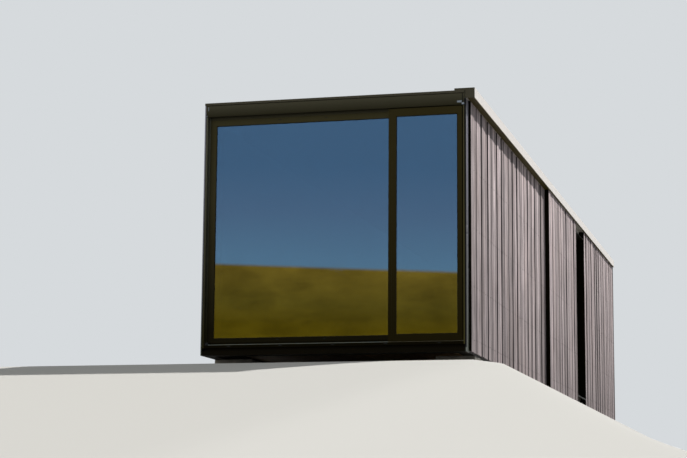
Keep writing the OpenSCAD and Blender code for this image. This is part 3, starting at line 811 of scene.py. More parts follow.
    endGroup(tree, start, placed, roughen)
    return tree


nailHead = {"sides": 10, "crown": 0.62}  # the crown's radius as a share of the head's


def makeFixingTree():
    # small round heads that face the front of the local frame
    tree, start = newGroup("round heads", [
        ("Radius", "NodeSocketFloat", 0.004), ("Proud", "NodeSocketFloat", 0.0015),
        ("Material", "NodeSocketMaterial", None)])
    size = start.outputs
    crown = addNode(tree, "ShaderNodeMath", {"operation": "MULTIPLY"}, {
        0: size["Radius"], 1: nailHead["crown"]}).outputs[0]
    head = addNode(tree, "GeometryNodeMeshCone", {"fill_type": "NGON"}, {
        "Vertices": nailHead["sides"], "Side Segments": 1, "Radius Bottom": size["Radius"],
        "Radius Top": crown, "Depth": size["Proud"]}).outputs["Mesh"]
    turn = addNode(tree, "FunctionNodeEulerToRotation", (), {0: (math.pi / 2, 0, 0)}).outputs[0]
    placed = addNode(tree, "GeometryNodeInstanceOnPoints", (), {
        "Points": size["Geometry"], "Instance": head, "Rotation": turn}).outputs["Instances"]
    endGroup(tree, start, placed)
    return tree


boardTree = makeBoardTree()
fixingTree = makeFixingTree()


def boardWidths(total, seed):
    chance = random.Random(seed)
    widths = []
    while sum(widths) < total - 0.5 * boardLook["wide"]:
        widths.append(chance.uniform(boardLook["narrow"], boardLook["wide"]))
    share = total / sum(widths)
    wideJoints = [i for i in range(len(widths)) if chance.random() < 1 / boardLook["openEvery"]]
    return [w * share for w in widths], wideJoints


def boardDepths(count, wideJoints, seed):
    # sawn boards differ in thickness: the one after a wide joint stands proud, the one before it is thin,
    # and those between are middling and thick by turns
    chance = random.Random(seed)
    depths = []
    for i in range(count):
        if i == 0 or i - 1 in wideJoints:
            depths.append(1.0)
        elif i in wideJoints:
            depths.append(chance.uniform(*boardLook["thin"]))
        else:
            kind = "middling" if depths[-1] > boardLook["thickAbove"] else "thick"
            depths.append(chance.uniform(*boardLook[kind]))
    return depths


def boardLeans(count, wideJoints, seed):
    # boards stand a little out of plumb, and those beside a wide joint spread apart towards the eave
    chance = random.Random(seed)
    leans = [chance.uniform(-1, 1) * boardLook["lean"] for i in range(count)]
    leans[0] = leans[-1] = 0.0
    for joint in wideJoints:
        if 0 < joint < count - 2:
            leans[joint] -= boardLook["spread"]
            leans[joint + 1] += boardLook["spread"]
    return leans


def lapMembrane(total, tall):
    # courses of sheet, each with its foot lapped over the one below
    look = boardLook
    outside, inside = -look["behind"], -0.5 * look["behind"]
    section = [(0, 0), (inside, 0)]
    for lap in look["laps"]:
        end = lap + look["lapLong"]
        section += [(inside, lap), (outside, lap), (outside, end), (inside, end + look["lapBevel"])]
    section += [(inside, tall), (0, tall)]
    bm = bmesh.new()
    addRun(bm, section, 0, 0, total)
    return bm


def cladRun(name, node, angle, seed, widths=None, wideJoints=None, inStepShadow=0):
    # boards stand in a local frame that runs along +X and faces -Y, then turn to their side of the cabin;
    # the last ones may be darkened as a painted shadow of the step beside them
    look = boardLook
    low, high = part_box(node)
    size = high - low
    total = size.x if angle in (0, 180) else size.y
    thick = min(size.x, size.y)
    origin = {90: (low.x, low.y, low.z), -90: (high.x, high.y, low.z), 180: (high.x, low.y, low.z)}[angle]
    turn = turned(angle, origin)
    if widths is None:
        widths, wideJoints = boardWidths(total, seed)
    share = total / sum(widths)
    chance = random.Random(seed + 1)
    depths = boardDepths(len(widths), wideJoints, seed + 2)
    leans = boardLeans(len(widths), wideJoints, seed + 3)
    full = thick - look["behind"]
    points, faceWidths, tones, nails = [], [], [], []
    at = 0.0
    for i, w in enumerate(widths):
        w = w * share
        before = look["openGap"] if i - 1 in wideJoints else look["gap"]
        after = look["openGap"] if i in wideJoints else look["gap"]
        near = at + (before / 2 if i else 0)
        far = at + w - (after / 2 if i < len(widths) - 1 else 0)
        points.append(((near + far) / 2, -look["behind"] - full * depths[i] / 2, size.z / 2))
        faceWidths.append(far - near)
        # the last boards' dull tone is a painted shadow of the step
        tones.append(chance.random() * (look["stepShadowTone"] if i >= len(widths) - inStepShadow else 1.0))
        face = -look["behind"] - full * depths[i] - look["nailLift"]
        for row in look["nailRows"]:
            for edge in (near + look["nailInset"], far - look["nailInset"]):
                aside = chance.uniform(-look["nailAside"], look["nailAside"])
                up = chance.uniform(-look["nailUp"], look["nailUp"])
                nails.append((edge + aside, face, row + up))
        at += w
    boards = growPiece(name, boardTree, points, {
        "Height": size.z, "Thickness": full, "Arris": look["arris"], "Saw Marks": look["sawMarks"],
        "Wander": look["wander"]}, silveredTimber, turn,
        {"boardWidth": faceWidths, "boardDepth": depths, "boardTone": tones, "boardLean": leans})
    seatPiece(boards, "cabin", [node])
    heads = growPiece(name + "_nails", fixingTree, nails, {
        "Radius": look["nailRadius"], "Proud": look["nailProud"]}, baseSteel, turn)
    seatPiece(heads, "cabin")
    sheets = lapMembrane(total, size.z)
    keepPiece(name + "_membrane", sheets, membrane, "cabin", turn=turn)
    return len(widths)


frontMetres = [width / 1000 for width in frontWidths]
count = cladRun("front_section_boards", "right_cladding_front", 90, 11, frontMetres, frontOpen, 3)
count += cladRun("middle_section_boards", "right_cladding_middle", 90, 23)
count += cladRun("rear_section_boards", "right_cladding_rear", 90, 37)
count += cladRun("left_side_boards", "left_cladding", -90, 41)
count += cladRun("back_boards", "back_cladding", 180, 59)
print("cladding:", count, "boards")


# Trims at the cladding's front end, where it steps out and round the slot window

trimLook = {
    "metal": 0.002, "lap": 0.020, "clear": 0.0002, "ease": 0.0004,
    "sillRise": 0.012, "sillFall": 0.004, "sillDrip": 0.024,  # from the foot of the slot window's frame
}


def makeTrims():
    look = trimLook
    front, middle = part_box("right_cladding_front"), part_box("right_cladding_middle")
    slotLow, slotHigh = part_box("slot_window_frame")
    wallX, faceX = front[0].x, middle[1].x
    metal, ease, clear = look["metal"], look["ease"], look["clear"]
    bm = bmesh.new()
    # an angle over the front end of the boards
    x0, x1, y = wallX + clear, front[1].x, front[0].y
    back = y + look["lap"]
    angle = [(x0, y - metal), (x1 + metal, y - metal), (x1 + metal, back), (x1 + metal / 2, back),
             (x1 + metal / 2, y - clear), (x0, y - clear)]
    addRun(bm, angle, 2, front[0].z, front[1].z)
    # the step's return
    outer, inner = faceX + metal / 2, faceX - metal / 2
    addBlock(bm, (front[1].x, middle[0].y - metal, middle[0].z), (outer, middle[0].y, middle[1].z), ease)
    # linings of the slot's two sides, its head and its foot
    for y, away in ((slotLow.y, 1), (slotHigh.y, -1)):
        near, far = sorted((y, y + away * metal))
        addBlock(bm, (slotHigh.x, near, middle[0].z), (outer, far, middle[1].z), ease)
    near, far = slotLow.y + metal, slotHigh.y - metal
    addBlock(bm, (slotHigh.x, near, slotHigh.z - metal), (faceX, far, slotHigh.z), ease)
    rise = slotLow.z + look["sillRise"]
    fall = slotLow.z - look["sillFall"]
    drip = slotLow.z - look["sillDrip"]
    sill = [(slotHigh.x, rise), (outer, fall), (outer, drip), (inner, drip), (inner, fall - metal),
            (slotHigh.x, rise - metal)]
    addRun(bm, sill, 1, near, far)
    # closing plates above and below the glazing, back against the wall
    for foot, top in ((slotHigh.z, middle[1].z), (middle[0].z, slotLow.z + metal)):
        addBlock(bm, (wallX - 2 * metal, near, foot), (wallX - metal, far, top))
    # the trims are real flashings, coated near black as painted shade on the shaded returns and in the slot's
    # recess
    keepPiece("cladding_trims", bm, paintedShadeBlackCoat, "cabin")


makeTrims()
print("trims made")


# Glazing: two sheets and a spacer for each unit, held by black gaskets

glazingLook = {
    "sheet": 0.006, "arris": 0.0008, "clear": 0.0002, "edge": 0.001, "spacer": 0.010, "rebate": 0.012,
    "gasket": 0.006, "gasketProud": 0.004, "gasketBack": 0.001,
    "heel": 0.5, "tip": 0.9, "tipProud": 0.45,  # shares of the gasket's width and of how proud it stands
}


def makeUnit(name, node, frameNode, body, turn=None):
    # drawn across X with its outside towards -Y
    look = glazingLook
    low, high = [Vector(c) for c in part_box(node)]
    frameLow, frameHigh = [Vector(c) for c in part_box(frameNode)]
    if turn is not None:
        back = turn.inverted()
        low, high = back @ low, back @ high
        frameLow, frameHigh = back @ frameLow, back @ frameHigh
        low, high = Vector(map(min, low, high)), Vector(map(max, low, high))
        frameLow, frameHigh = Vector(map(min, frameLow, frameHigh)), Vector(map(max, frameLow, frameHigh))
    sheet, clear, edge = look["sheet"], look["clear"], look["edge"]
    bm = bmesh.new()
    addBlock(bm, low, (high.x, low.y + sheet, high.z), look["arris"])
    addBlock(bm, (low.x, high.y - sheet, low.z), high, look["arris"])
    keepPiece(name + "_sheets", bm, solarGlass, body, [node], turn)
    bm = bmesh.new()
    near, far = low.y + sheet + clear, high.y - sheet - clear
    addSurround(bm, low, high, [(edge, near), (look["spacer"], near), (look["spacer"], far), (edge, far)])
    keepPiece(name + "_spacer", bm, trackAluminium, body, (), turn)
    # a black wedge gasket fills the joint between the frame and the glass, inside and outside
    rebate = Vector((look["rebate"], 0, look["rebate"]))
    wide = look["gasket"]
    bm = bmesh.new()
    for face, pane, out in ((frameLow.y, low.y, -1), (frameHigh.y, high.y, 1)):
        proud = min(look["gasketProud"], abs(face - pane) - look["gasketBack"])
        heel, tip, base = (pane + out * reach for reach in (proud, proud * look["tipProud"], clear))
        addSurround(bm, low + rebate, high - rebate, [
            (clear, base), (clear, heel), (wide * look["heel"], heel), (wide * look["tip"], tip),
            (wide, base)])
    keepPiece(name + "_gaskets", bm, seal, body, (), turn)


makeUnit("fixed_glazing", "fixed_sash_glass", "fixed_sash_frame", "cabin")
makeUnit("sliding_glazing", "sliding_sash_glass", "sliding_sash_frame", "sliding_door")
makeUnit("slot_glazing", "slot_window_glass", "slot_window_frame", "cabin", turned(90, (0, 0, 0)))
print("glazing made")


# Door furniture: marks on the rails, seals, black strips as painted shadow gaps and the clips at the fascia's
# ends

doorLook = {
    # cover plugs on the fixed sash: their left ends, and how far in from its foot and its top
    "plugWide": 0.024, "plugTall": 0.007, "plugProud": 0.0012, "plugArris": 0.0006, "plugs": (-0.62, -0.13),
    "plugUp": 0.024, "plugDown": 0.022,
    # drain covers along the sill
    "drains": 5, "firstDrain": 0.25, "drainPitch": 0.54, "drainWide": 0.034, "drainProud": 0.0022,
    "drainFoot": 0.010, "drainTop": 0.019, "drainArris": 0.001,
    # wool strips and ribs on the sliding sash, as (left, right) from its left edge
    "wools": ((0.020, 0.027), (0.046, 0.053)), "woolProud": 0.006, "woolFoot": 0.03, "woolTop": 0.02,
    "woolArris": 0.0008,
    "ribs": (0.030, 0.036), "ribWide": 0.0022, "ribProud": 0.0008, "ribDeep": 0.0006, "ribEnd": 0.004,
    # the stop on the track, from the sill's left front corner
    "stopLeft": 0.006, "stopRight": 0.040, "stopFront": 0.018, "stopBack": 0.034, "stopTall": 0.03,
    "stopArris": 0.003,
    # black strips round the right cheek's edge and at the fascia's end, as painted shadow gaps
    "strip": 0.001, "wrap": 0.030, "wrapInside": 0.003, "lipTall": 0.043, "endGap": 0.014, "endShadowStrip": 0.007,
    "clipProud": 0.003, "clipArris": 0.0008, "sunk": 0.001,
}
# the plated clips at the fascia's two ends: on each a tab and a smaller square, as (left, right, foot, top)
clipTabs = [(1.245, 1.292, 2.597, 2.617), (1.292, 1.317, 2.5765, 2.597),
            (-1.3580, -1.3515, 2.640, 2.680), (-1.3750, -1.3690, 2.5765, 2.592)]


def makeDoorFurniture():
    look = doorLook
    sunk = look["sunk"]
    frameLow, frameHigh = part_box("fixed_sash_frame")
    slideLow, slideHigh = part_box("sliding_sash_frame")
    sillLow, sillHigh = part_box("door_sill")
    # packers' cover plugs in the fixed sash's top and bottom rails
    bm = bmesh.new()
    half = look["plugTall"] / 2
    for x in look["plugs"]:
        for z in (frameHigh.z - look["plugDown"], frameLow.z + look["plugUp"]):
            addBlock(bm, (x, frameLow.y - look["plugProud"], z - half),
                     (x + look["plugWide"], frameLow.y + sunk, z + half), look["plugArris"])
    keepPiece("fixed_sash_plugs", bm, nylon, "cabin")
    # drain slots' covers along the sill's front
    bm = bmesh.new()
    for i in range(look["drains"]):
        x = sillLow.x + look["firstDrain"] + i * look["drainPitch"]
        addBlock(bm, (x, sillLow.y - look["drainProud"], sillLow.z + look["drainFoot"]),
                 (x + look["drainWide"], sillLow.y + sunk, sillLow.z + look["drainTop"]), look["drainArris"])
    keepPiece("sill_drain_covers", bm, nylon, "cabin")
    # wool seals along the meeting stile and the closing stile
    bm = bmesh.new()
    for left, right in look["wools"]:
        addBlock(bm, (slideLow.x + left, slideHigh.y - sunk, slideLow.z + look["woolFoot"]),
                 (slideLow.x + right, slideHigh.y + look["woolProud"], slideHigh.z - look["woolTop"]),
                 look["woolArris"])
    keepPiece("meeting_stile_wool", bm, seal, "sliding_door")
    # a fine groove's edge down the middle of each wide stile
    bm = bmesh.new()
    for left in look["ribs"]:
        x = slideLow.x + left
        addBlock(bm, (x, slideLow.y - look["ribProud"], slideLow.z + look["ribEnd"]),
                 (x + look["ribWide"], slideLow.y + look["ribDeep"], slideHigh.z - look["ribEnd"]))
    keepPiece("meeting_stile_ribs", bm, slidingCoat, "sliding_door")
    # a stop block on the track's left end, clear of the sash's travel
    bm = bmesh.new()
    addBlock(bm, (sillLow.x + look["stopLeft"], sillLow.y + look["stopFront"], sillHigh.z),
             (sillLow.x + look["stopRight"], sillLow.y + look["stopBack"], sillHigh.z + look["stopTall"]),
             look["stopArris"])
    keepPiece("track_stop", bm, nylon, "cabin")
    # black strips as painted shadow gaps: over the right cheek plate's front edge, with a return on its
    # side, and in the joint between the fascia and its end piece
    fasciaLow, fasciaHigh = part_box("front_fascia")
    rightLow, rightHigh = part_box("cheek_right")
    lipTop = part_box("front_channel")[0].z + look["lipTall"]
    strip = look["strip"]
    bm = bmesh.new()
    x, y = rightHigh.x, rightLow.y
    inner, back = rightLow.x - look["wrapInside"], y + look["wrap"]
    fold = [(inner, y - strip), (x + strip, y - strip), (x + strip, back), (x, back), (x, y), (inner, y)]
    addRun(bm, fold, 2, lipTop, rightHigh.z - sunk)
    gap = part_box("door_jamb_right")[0].x + look["endGap"]
    addBlock(bm, (gap - look["endShadowStrip"], fasciaLow.y - strip, fasciaLow.z),
             (gap, fasciaLow.y, fasciaHigh.z - sunk))
    # the strips are drawn in the seal's black, as painted shadow gaps
    keepPiece("shadow_gap_strips", bm, seal, "cabin")
    # clips at the ends of the fascia
    bm = bmesh.new()
    for left, right, foot, top in clipTabs:
        addBlock(bm, (left, fasciaLow.y - look["clipProud"], foot), (right, fasciaLow.y - strip, top),
                 look["clipArris"])
    keepPiece("fascia_end_clips", bm, zincPlate, "cabin")


makeDoorFurniture()
print("door furniture made")


# Roof: standing seams, folded caps and the gutter's straps, lips and soffit

roofLook = {
    "fall": 0.030, "seamPitch": 0.53, "seamHigh": 0.020, "seamWide": 0.005, "headWide": 0.011,
    "headHigh": 0.006, "seamFromVerge": 0.006, "seamFromGutter": 0.004,
    "gutterMetal": 0.005, "strapPitch": 0.60, "strapWide": 0.022, "strapThick": 0.003, "strapDown": 0.010,
    "strapRib": 0.5, "strapRibHigh": 0.002,  # the rib's width is a share of the strap's
    "lip": 0.012, "lipDown": 0.008, "lipMetal": 0.002,
    "drip": 0.005, "soffit": 0.0012, "soffitBack": 0.001, "soffitBelow": 0.0001,
}


def makeRibTree():
    # a straight rib with a folded head, repeated on points; it runs along X and falls to one end
    tree, start = newGroup("ribs on points", [
        ("Length", "NodeSocketFloat", 2.0), ("Fall", "NodeSocketFloat", 0.03),
        ("Wide", "NodeSocketFloat", 0.005), ("High", "NodeSocketFloat", 0.02),
        ("Head Wide", "NodeSocketFloat", 0.011), ("Head High", "NodeSocketFloat", 0.006),
        ("Material", "NodeSocketMaterial", None)])
    size = start.outputs
    down = addNode(tree, "ShaderNodeMath", {"operation": "MULTIPLY"}, {0: size["Fall"], 1: -1.0}).outputs[0]
    far = addNode(tree, "ShaderNodeCombineXYZ", (), {0: size["Length"], 1: 0.0, 2: down}).outputs[0]
    line = addNode(tree, "GeometryNodeCurvePrimitiveLine", {"mode": "POINTS"}, {
        "Start": (0, 0, 0), "End": far}).outputs[0]
    parts = []
    for wide, high, lift in (("Wide", "High", 0.5), ("Head Wide", "Head High", 1.0)):
        outline = addNode(tree, "GeometryNodeCurvePrimitiveQuadrilateral", {"mode": "RECTANGLE"}, {
            "Width": size[wide], "Height": size[high]}).outputs[0]
        swept = addNode(tree, "GeometryNodeCurveToMesh", (), {
            "Curve": line, "Profile Curve": outline, "Fill Caps": True}).outputs[0]
        up = addNode(tree, "ShaderNodeMath", {"operation": "MULTIPLY"}, {0: size["High"], 1: lift}).outputs[0]
        rise = addNode(tree, "ShaderNodeCombineXYZ", (), {0: 0.0, 1: 0.0, 2: up}).outputs[0]
        parts.append(addNode(tree, "GeometryNodeTransform", (), {
            "Geometry": swept, "Translation": rise}).outputs[0])
    rib = addNode(tree, "GeometryNodeJoinGeometry")
    for part in parts:
        tree.links.new(part, rib.inputs[0])
    placed = addNode(tree, "GeometryNodeInstanceOnPoints", (), {
        "Points": size["Geometry"], "Instance": rib.outputs[0]}).outputs["Instances"]
    endGroup(tree, start, placed)
    return tree


def makeRoof():
    look = roofLook
    ribTree = makeRibTree()
    low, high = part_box("roof_sheet")
    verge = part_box("left_verge_cap")[1].x
    fallPerMetre = look["fall"] / (high.x - low.x)
    startX, endX = verge + look["seamFromVerge"], high.x - look["seamFromGutter"]
    startZ = high.z - fallPerMetre * (startX - low.x)
    bays = round((high.y - low.y) / look["seamPitch"])
    pitch = (high.y - low.y) / bays
    points = [(startX, low.y + pitch * (i + 0.5), startZ) for i in range(bays)]
    seams = growPiece("roof_seams", ribTree, points, {
        "Length": endX - startX, "Fall": fallPerMetre * (endX - startX), "Wide": look["seamWide"],
        "High": look["seamHigh"] - look["headHigh"] / 2, "Head Wide": look["headWide"],
        "Head High": look["headHigh"]}, roofCoat)
    seatPiece(seams, "cabin")

    sideLow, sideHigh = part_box("gutter_sides")
    metal, top = look["gutterMetal"], sideHigh.z
    count = int((sideHigh.y - sideLow.y) / look["strapPitch"])
    step = (sideHigh.y - sideLow.y) / count
    strapX, strapZ = sideLow.x + metal, top - look["strapDown"]
    points = [(strapX, sideLow.y + step * (i + 0.5), strapZ) for i in range(count)]
    straps = growPiece("gutter_straps", ribTree, points, {
        "Length": sideHigh.x - sideLow.x - 2 * metal, "Fall": 0.0, "Wide": look["strapWide"],
        "High": look["strapThick"], "Head Wide": look["strapWide"] * look["strapRib"],
        "Head High": look["strapRibHigh"]}, paleCoat)
    seatPiece(straps, "cabin")
    # turned-in lips along the gutter's two edges
    lip, thin, foot = look["lip"], look["lipMetal"], top - look["lipDown"]
    bm = bmesh.new()
    for edge, inward in ((sideLow.x + metal, 1), (sideHigh.x - metal, -1)):
        tip, heel = edge + inward * lip, edge + inward * (lip - thin)
        section = [(edge, top), (tip, top), (tip, foot), (heel, foot), (heel, top - thin), (edge, top - thin)]
        addRun(bm, section, 1, sideLow.y, sideHigh.y)
    keepPiece("gutter_lips", bm, paleCoat, "cabin")
    # a dark soffit strip with a small drip under the gutter, out from the boards, and over the slot's recess
    floorLow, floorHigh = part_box("gutter_floor")
    front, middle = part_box("right_cladding_front"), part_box("right_cladding_middle")
    drip, sheet = look["drip"], look["soffit"]
    outer, top = floorHigh.x - look["soffitBack"], floorLow.z - look["soffitBelow"]
    bm = bmesh.new()
    for inner, near, far in ((front[1].x, floorLow.y, middle[0].y), (middle[1].x, middle[0].y, floorHigh.y)):
        section = [(inner, top), (outer, top), (outer, top - drip), (outer - sheet, top - drip),
                   (outer - sheet, top - sheet), (inner, top - sheet)]
        addRun(bm, section, 1, near, far)
    # the soffit's dark olive is partly its own coat and partly painted shade
    keepPiece("gutter_soffit", bm, soffitCoatWithPaintedShade, "cabin")
    print("roof:", bays, "seams,", count, "straps")


capLook = {
    "hem": 0.003, "hemTall": 0.007, "ease": 0.002, "fold": 0.008, "kick": 0.001, "kickUp": 0.0015,
    "lapJoint": 0.0015, "overRoof": 0.060, "behindBoards": 0.020,
}


def dripSection(edge, back, foot, top):
    # the eased edge, the face and the kicked-out hem of a cap, as (across the cap, height)
    look = capLook
    hem = look["hem"]
    return [(edge + hem, top - look["ease"]), (edge + hem + look["ease"], top), (back, top), (back, foot),
            (edge + look["fold"], foot), (edge + look["kick"], foot), (edge, foot + look["kickUp"]),
            (edge + hem, foot + look["hemTall"])]


def makeCaps():
    # folded flashings: eased edges and a small kicked-out hem along the foot of the drip edge
    look = capLook
    # the front one runs on as a thin bar in front of the gutter's end
    low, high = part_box("front_cap")
    kerbZ = low.z
    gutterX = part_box("gutter_floor")[0].x
    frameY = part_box("gutter_stop_ends")[0].y
    bm = bmesh.new()
    for x0, x1, y1 in ((low.x, gutterX, high.y), (gutterX + look["lapJoint"], high.x, frameY)):
        addRun(bm, dripSection(low.y, y1, low.z, high.z), 0, x0, x1)
    keepPiece("front_cap_flashing", bm, capCoat, "cabin", ["front_cap"])

    low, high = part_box("rear_cap")
    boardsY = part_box("back_cladding")[1].y
    hem, ease = look["hem"], look["ease"]
    bm = bmesh.new()
    y0, y1, z1 = boardsY - look["overRoof"], high.y, high.z
    tuckY = boardsY - look["behindBoards"]
    section = [(y0, z1), (y1 - hem - ease, z1), (y1 - hem, z1 - ease), (y1 - hem, kerbZ + look["hemTall"]),
               (y1, kerbZ + look["kickUp"]), (y1 - look["kick"], kerbZ), (boardsY, kerbZ), (boardsY, low.z),
               (tuckY, low.z), (tuckY, kerbZ), (y0, kerbZ)]
    addRun(bm, section, 0, low.x, high.x)
    keepPiece("rear_cap_flashing", bm, capCoat, "cabin", ["rear_cap"])

    low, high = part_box("left_verge_cap")
    bm = bmesh.new()
    addRun(bm, dripSection(low.x, high.x, low.z, high.z), 1, low.y, high.y)
    keepPiece("left_verge_flashing", bm, capCoat, "cabin", ["left_verge_cap"])
    print("caps folded")


makeRoof()
makeCaps()


# Footings: cast pads with a chamfered arris

footingLook = {"chamfer": 0.008}


def makeFootings():
    rest = cadNodes["footings"].data
    corners = sorted({(round(v.co.x, 4), round(v.co.y, 4)) for v in rest.vertices})
    low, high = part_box("footings")
    lefts = sorted({x for x, y in corners})
    fronts = sorted({y for x, y in corners})
    bm = bmesh.new()
    for x0, x1 in zip(lefts[::2], lefts[1::2]):
        for y0, y1 in zip(fronts[::2], fronts[1::2]):
            addBlock(bm, (x0, y0, low.z), (x1, y1, high.z), footingLook["chamfer"])
    keepPiece("cast_footings", bm, concrete, "cabin", ["footings"])


makeFootings()
print("footings cast")


# Stage: a pale floor that is level under the cabin and falls away in front and on the right, and the light

stageLook = {
    "floor": "#c3c4c2", "floorBounce": "#747474", "background": "#d6dadd",
    "frontSlope": 0.15, "frontEdge": -6.45, "ease": 0.5,
    "rightEdge": 1.62, "rightDrop": 1.5, "rightSteep": 0.533, "rightEase": 0.25,
    "reach": 60.0, "fineReach": 12, "finePitch": 0.25, "coarsePitch": 2.0,  # the floor's mesh
    "lightTint": "#eaf0f6", "lightLevel": 0.26,
}
# where each lamp shines from, its level, how wide it looks in degrees, its colour and whether gloss shows it
lampLook = {
    "high key lamp": ((0.39, 0.58, 0.71), 4.50, 1.5, "#fffaf4", True),
    "soft front fill": ((-0.45, -0.85, 0.25), 1.4, 60.0, "#fff8ec", False),
    "soft right fill": ((0.80, -0.52, 0.20), 0.06, 60.0, "#fff8ec", False),
}


def floorLevel(x, y):
    look = stageLook
    front = max(0.0, look["frontEdge"] - y)
    front = look["frontSlope"] * (math.sqrt(front * front + look["ease"] ** 2) - look["ease"])
    right = max(0.0, x - look["rightEdge"])
    eased = right * right / (right + look["rightEase"])
    right = look["rightDrop"] * (1 - math.exp(-look["rightSteep"] * eased))
    return -front - right


def makeStage():
    look = stageLook
    reach, fine = look["reach"], look["fineReach"]
    steps = []
    for near, far, pitch in (
        (-reach, -fine, look["coarsePitch"]),
        (-fine, fine, look["finePitch"]),
        (fine, reach, look["coarsePitch"]),
    ):
        steps += [near + i * pitch for i in range(round((far - near) / pitch))]
    steps.append(reach)
    verts = [(x, y, floorLevel(x, y)) for y in steps for x in steps]
    n = len(steps)
    starts = [j * n + i for j in range(n - 1) for i in range(n - 1)]
    faces = [(k, k + 1, k + n + 1, k + n) for k in starts]
    mesh = bpy.data.meshes.new("pale_floor")
    mesh.from_pydata(verts, [], faces)
    for face in mesh.polygons:
        face.use_smooth = True
    # the floor looks pale, but throws less light back up than it would if it were
    material, tree, shader = newFinish("pale matte floor")[:3]
    shown = addNode(tree, "ShaderNodeLightPath").outputs["Is Diffuse Ray"]
    colour = addNode(tree, "ShaderNodeMix", {"data_type": "RGBA"}, {
        0: shown, 6: toLinear(look["floor"]), 7: toLinear(look["floorBounce"])}).outputs[2]
    feed(tree, shader, {"Base Color": colour, "Roughness": 1.0, "Specular IOR Level": 0.0})
    mesh.materials.append(material)
    floor = bpy.data.objects.new("pale_floor", mesh)
    scene.collection.objects.link(floor)

    world = bpy.data.worlds.new("soft studio")
    scene.world = world
    world.use_nodes = True
    tree = world.node_tree
    tree.nodes.clear()
    path = addNode(tree, "ShaderNodeLightPath").outputs
    seen = addNode(tree, "ShaderNodeMath", {"operation": "MAXIMUM"}, {
        0: path["Is Camera Ray"], 1: path["Is Glossy Ray"]}).outputs[0]
    seen = addNode(tree, "ShaderNodeMath", {"operation": "MAXIMUM"}, {
        0: seen, 1: path["Is Transmission Ray"]}).outputs[0]
    light = addNode(tree, "ShaderNodeBackground", (), {
        "Color": toLinear(look["lightTint"]), "Strength": look["lightLevel"]}).outputs[0]
    pale = addNode(tree, "ShaderNodeBackground", (), {
        "Color": toLinear(look["background"]), "Strength": 1.0}).outputs[0]
    mixed = addNode(tree, "ShaderNodeMixShader", (), {0: seen, 1: light, 2: pale}).outputs[0]
    addNode(tree, "ShaderNodeOutputWorld", (), {"Surface": mixed})

    for name, (source, level, width, tint, glossy) in lampLook.items():
        lampData = bpy.data.lights.new(name, "SUN")
        lampData.energy = level
        lampData.angle = math.radians(width)
        lampData.color = toLinear(tint)[:3]
        lamp = bpy.data.objects.new(name, lampData)
        lamp.rotation_mode = "QUATERNION"
        lamp.rotation_quaternion = Vector(source).to_track_quat("Z", "Y")
        lamp.visible_glossy = glossy
        scene.collection.objects.link(lamp)


# A large card far in front, hidden from the camera, diffuse light, shadows and volumes, gives the glass
# something to mirror: it is blue above and ochre below, palest along the edge between them, and fades out at
# its two ends and its foot
cardLook = {
    "distance": 60.0, "left": -62.0, "right": 32.0, "foot": 0.0, "head": 60.0,
    "endFade": 28.0, "footFade": 4.5,
    "edge": 7.87, "edgeSlope": -0.063, "soft": 0.10,
    "sky": [(0.0, "#92c8f5"), (0.16, "#85b0e1"), (0.30, "#75a5d8")], "skyLevel": 1.5, "skyReach": 14.0,
    "ground": [(0.0, "#b1963a"), (0.3, "#92802e"), (0.5, "#8c7719")], "groundLevel": 1.45, "groundReach": 5.0,
    "mottleWide": 2.2, "mottleTall": 0.9, "mottle": (0.66, 1.36),  # metres, and the shares of its light
}


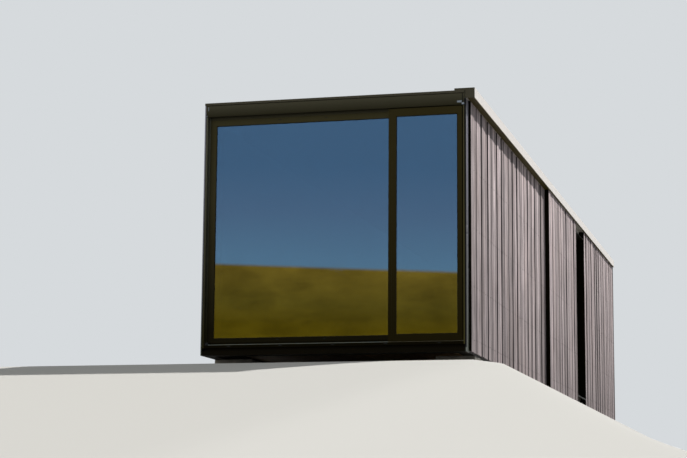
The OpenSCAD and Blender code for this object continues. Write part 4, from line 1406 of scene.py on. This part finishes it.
def makeCard():
    look = cardLook
    mesh = bpy.data.meshes.new("gloss_card")
    y = -look["distance"]
    mesh.from_pydata([(look["left"], y, look["foot"]), (look["right"], y, look["foot"]),
                      (look["right"], y, look["head"]), (look["left"], y, look["head"])], [], [(3, 2, 1, 0)])
    material = bpy.data.materials.new("two-tone card")
    material.use_nodes = True
    tree = material.node_tree
    tree.nodes.clear()
    place = addNode(tree, "ShaderNodeTexCoord").outputs["Object"]
    at = addNode(tree, "ShaderNodeSeparateXYZ", (), {0: place}).outputs
    edge = addNode(tree, "ShaderNodeMath", {"operation": "MULTIPLY_ADD"}, {
        0: at[0], 1: look["edgeSlope"], 2: look["edge"]}).outputs[0]
    above = addNode(tree, "ShaderNodeMath", {"operation": "SUBTRACT"}, {0: at[2], 1: edge}).outputs[0]
    mapped = addNode(tree, "ShaderNodeMapping", (), {
        "Vector": place, "Scale": (1 / look["mottleWide"], 1.0, 1 / look["mottleTall"])}).outputs[0]
    mottle = addNode(tree, "ShaderNodeTexNoise", (), {
        "Vector": mapped, "Scale": 1.0, "Detail": 6.0, "Roughness": 0.65}).outputs["Fac"]
    dimmest, brightest = (share * look["groundLevel"] for share in look["mottle"])
    mottle = addNode(tree, "ShaderNodeMapRange", (), {
        "Value": mottle, "From Min": 0.3, "From Max": 0.7, "To Min": dimmest, "To Max": brightest}).outputs[0]
    lights = []
    for part, way, strength in (("ground", -1, mottle), ("sky", 1, look["skyLevel"])):
        reach = addNode(tree, "ShaderNodeMath", {"operation": "DIVIDE"}, {
            0: above, 1: way * look[part + "Reach"]}).outputs[0]
        colour = addNode(tree, "ShaderNodeValToRGB", {"ramp": look[part]}, {"Fac": reach}).outputs["Color"]
        lights.append(addNode(tree, "ShaderNodeEmission", (), {
            "Color": colour, "Strength": strength}).outputs[0])
    rise = addNode(tree, "ShaderNodeMapRange", {"interpolation_type": "SMOOTHSTEP"}, {
        "Value": above, "From Min": -look["soft"], "From Max": look["soft"]}).outputs[0]
    mixed = addNode(tree, "ShaderNodeMixShader", (), {0: rise, 1: lights[0], 2: lights[1]}).outputs[0]
    solid = 1.0
    for value, empty, full in (
        (at[0], look["left"], look["left"] + look["endFade"]),
        (at[0], look["right"], look["right"] - look["endFade"]),
        (at[2], look["foot"], look["foot"] + look["footFade"]),
    ):
        fade = addNode(tree, "ShaderNodeMapRange", {"interpolation_type": "SMOOTHSTEP"}, {
            "Value": value, "From Min": empty, "From Max": full}).outputs[0]
        solid = addNode(tree, "ShaderNodeMath", {"operation": "MULTIPLY"}, {0: solid, 1: fade}).outputs[0]
    clear = addNode(tree, "ShaderNodeBsdfTransparent").outputs[0]
    faded = addNode(tree, "ShaderNodeMixShader", (), {0: solid, 1: clear, 2: mixed}).outputs[0]
    addNode(tree, "ShaderNodeOutputMaterial", (), {"Surface": faded})
    mesh.materials.append(material)
    card = bpy.data.objects.new("gloss_card", mesh)
    scene.collection.objects.link(card)
    card.visible_camera = False
    card.visible_diffuse = False
    card.visible_shadow = False
    card.visible_volume_scatter = False


makeStage()
makeCard()
scene.view_settings.view_transform = "Standard"
print("stage and light set")
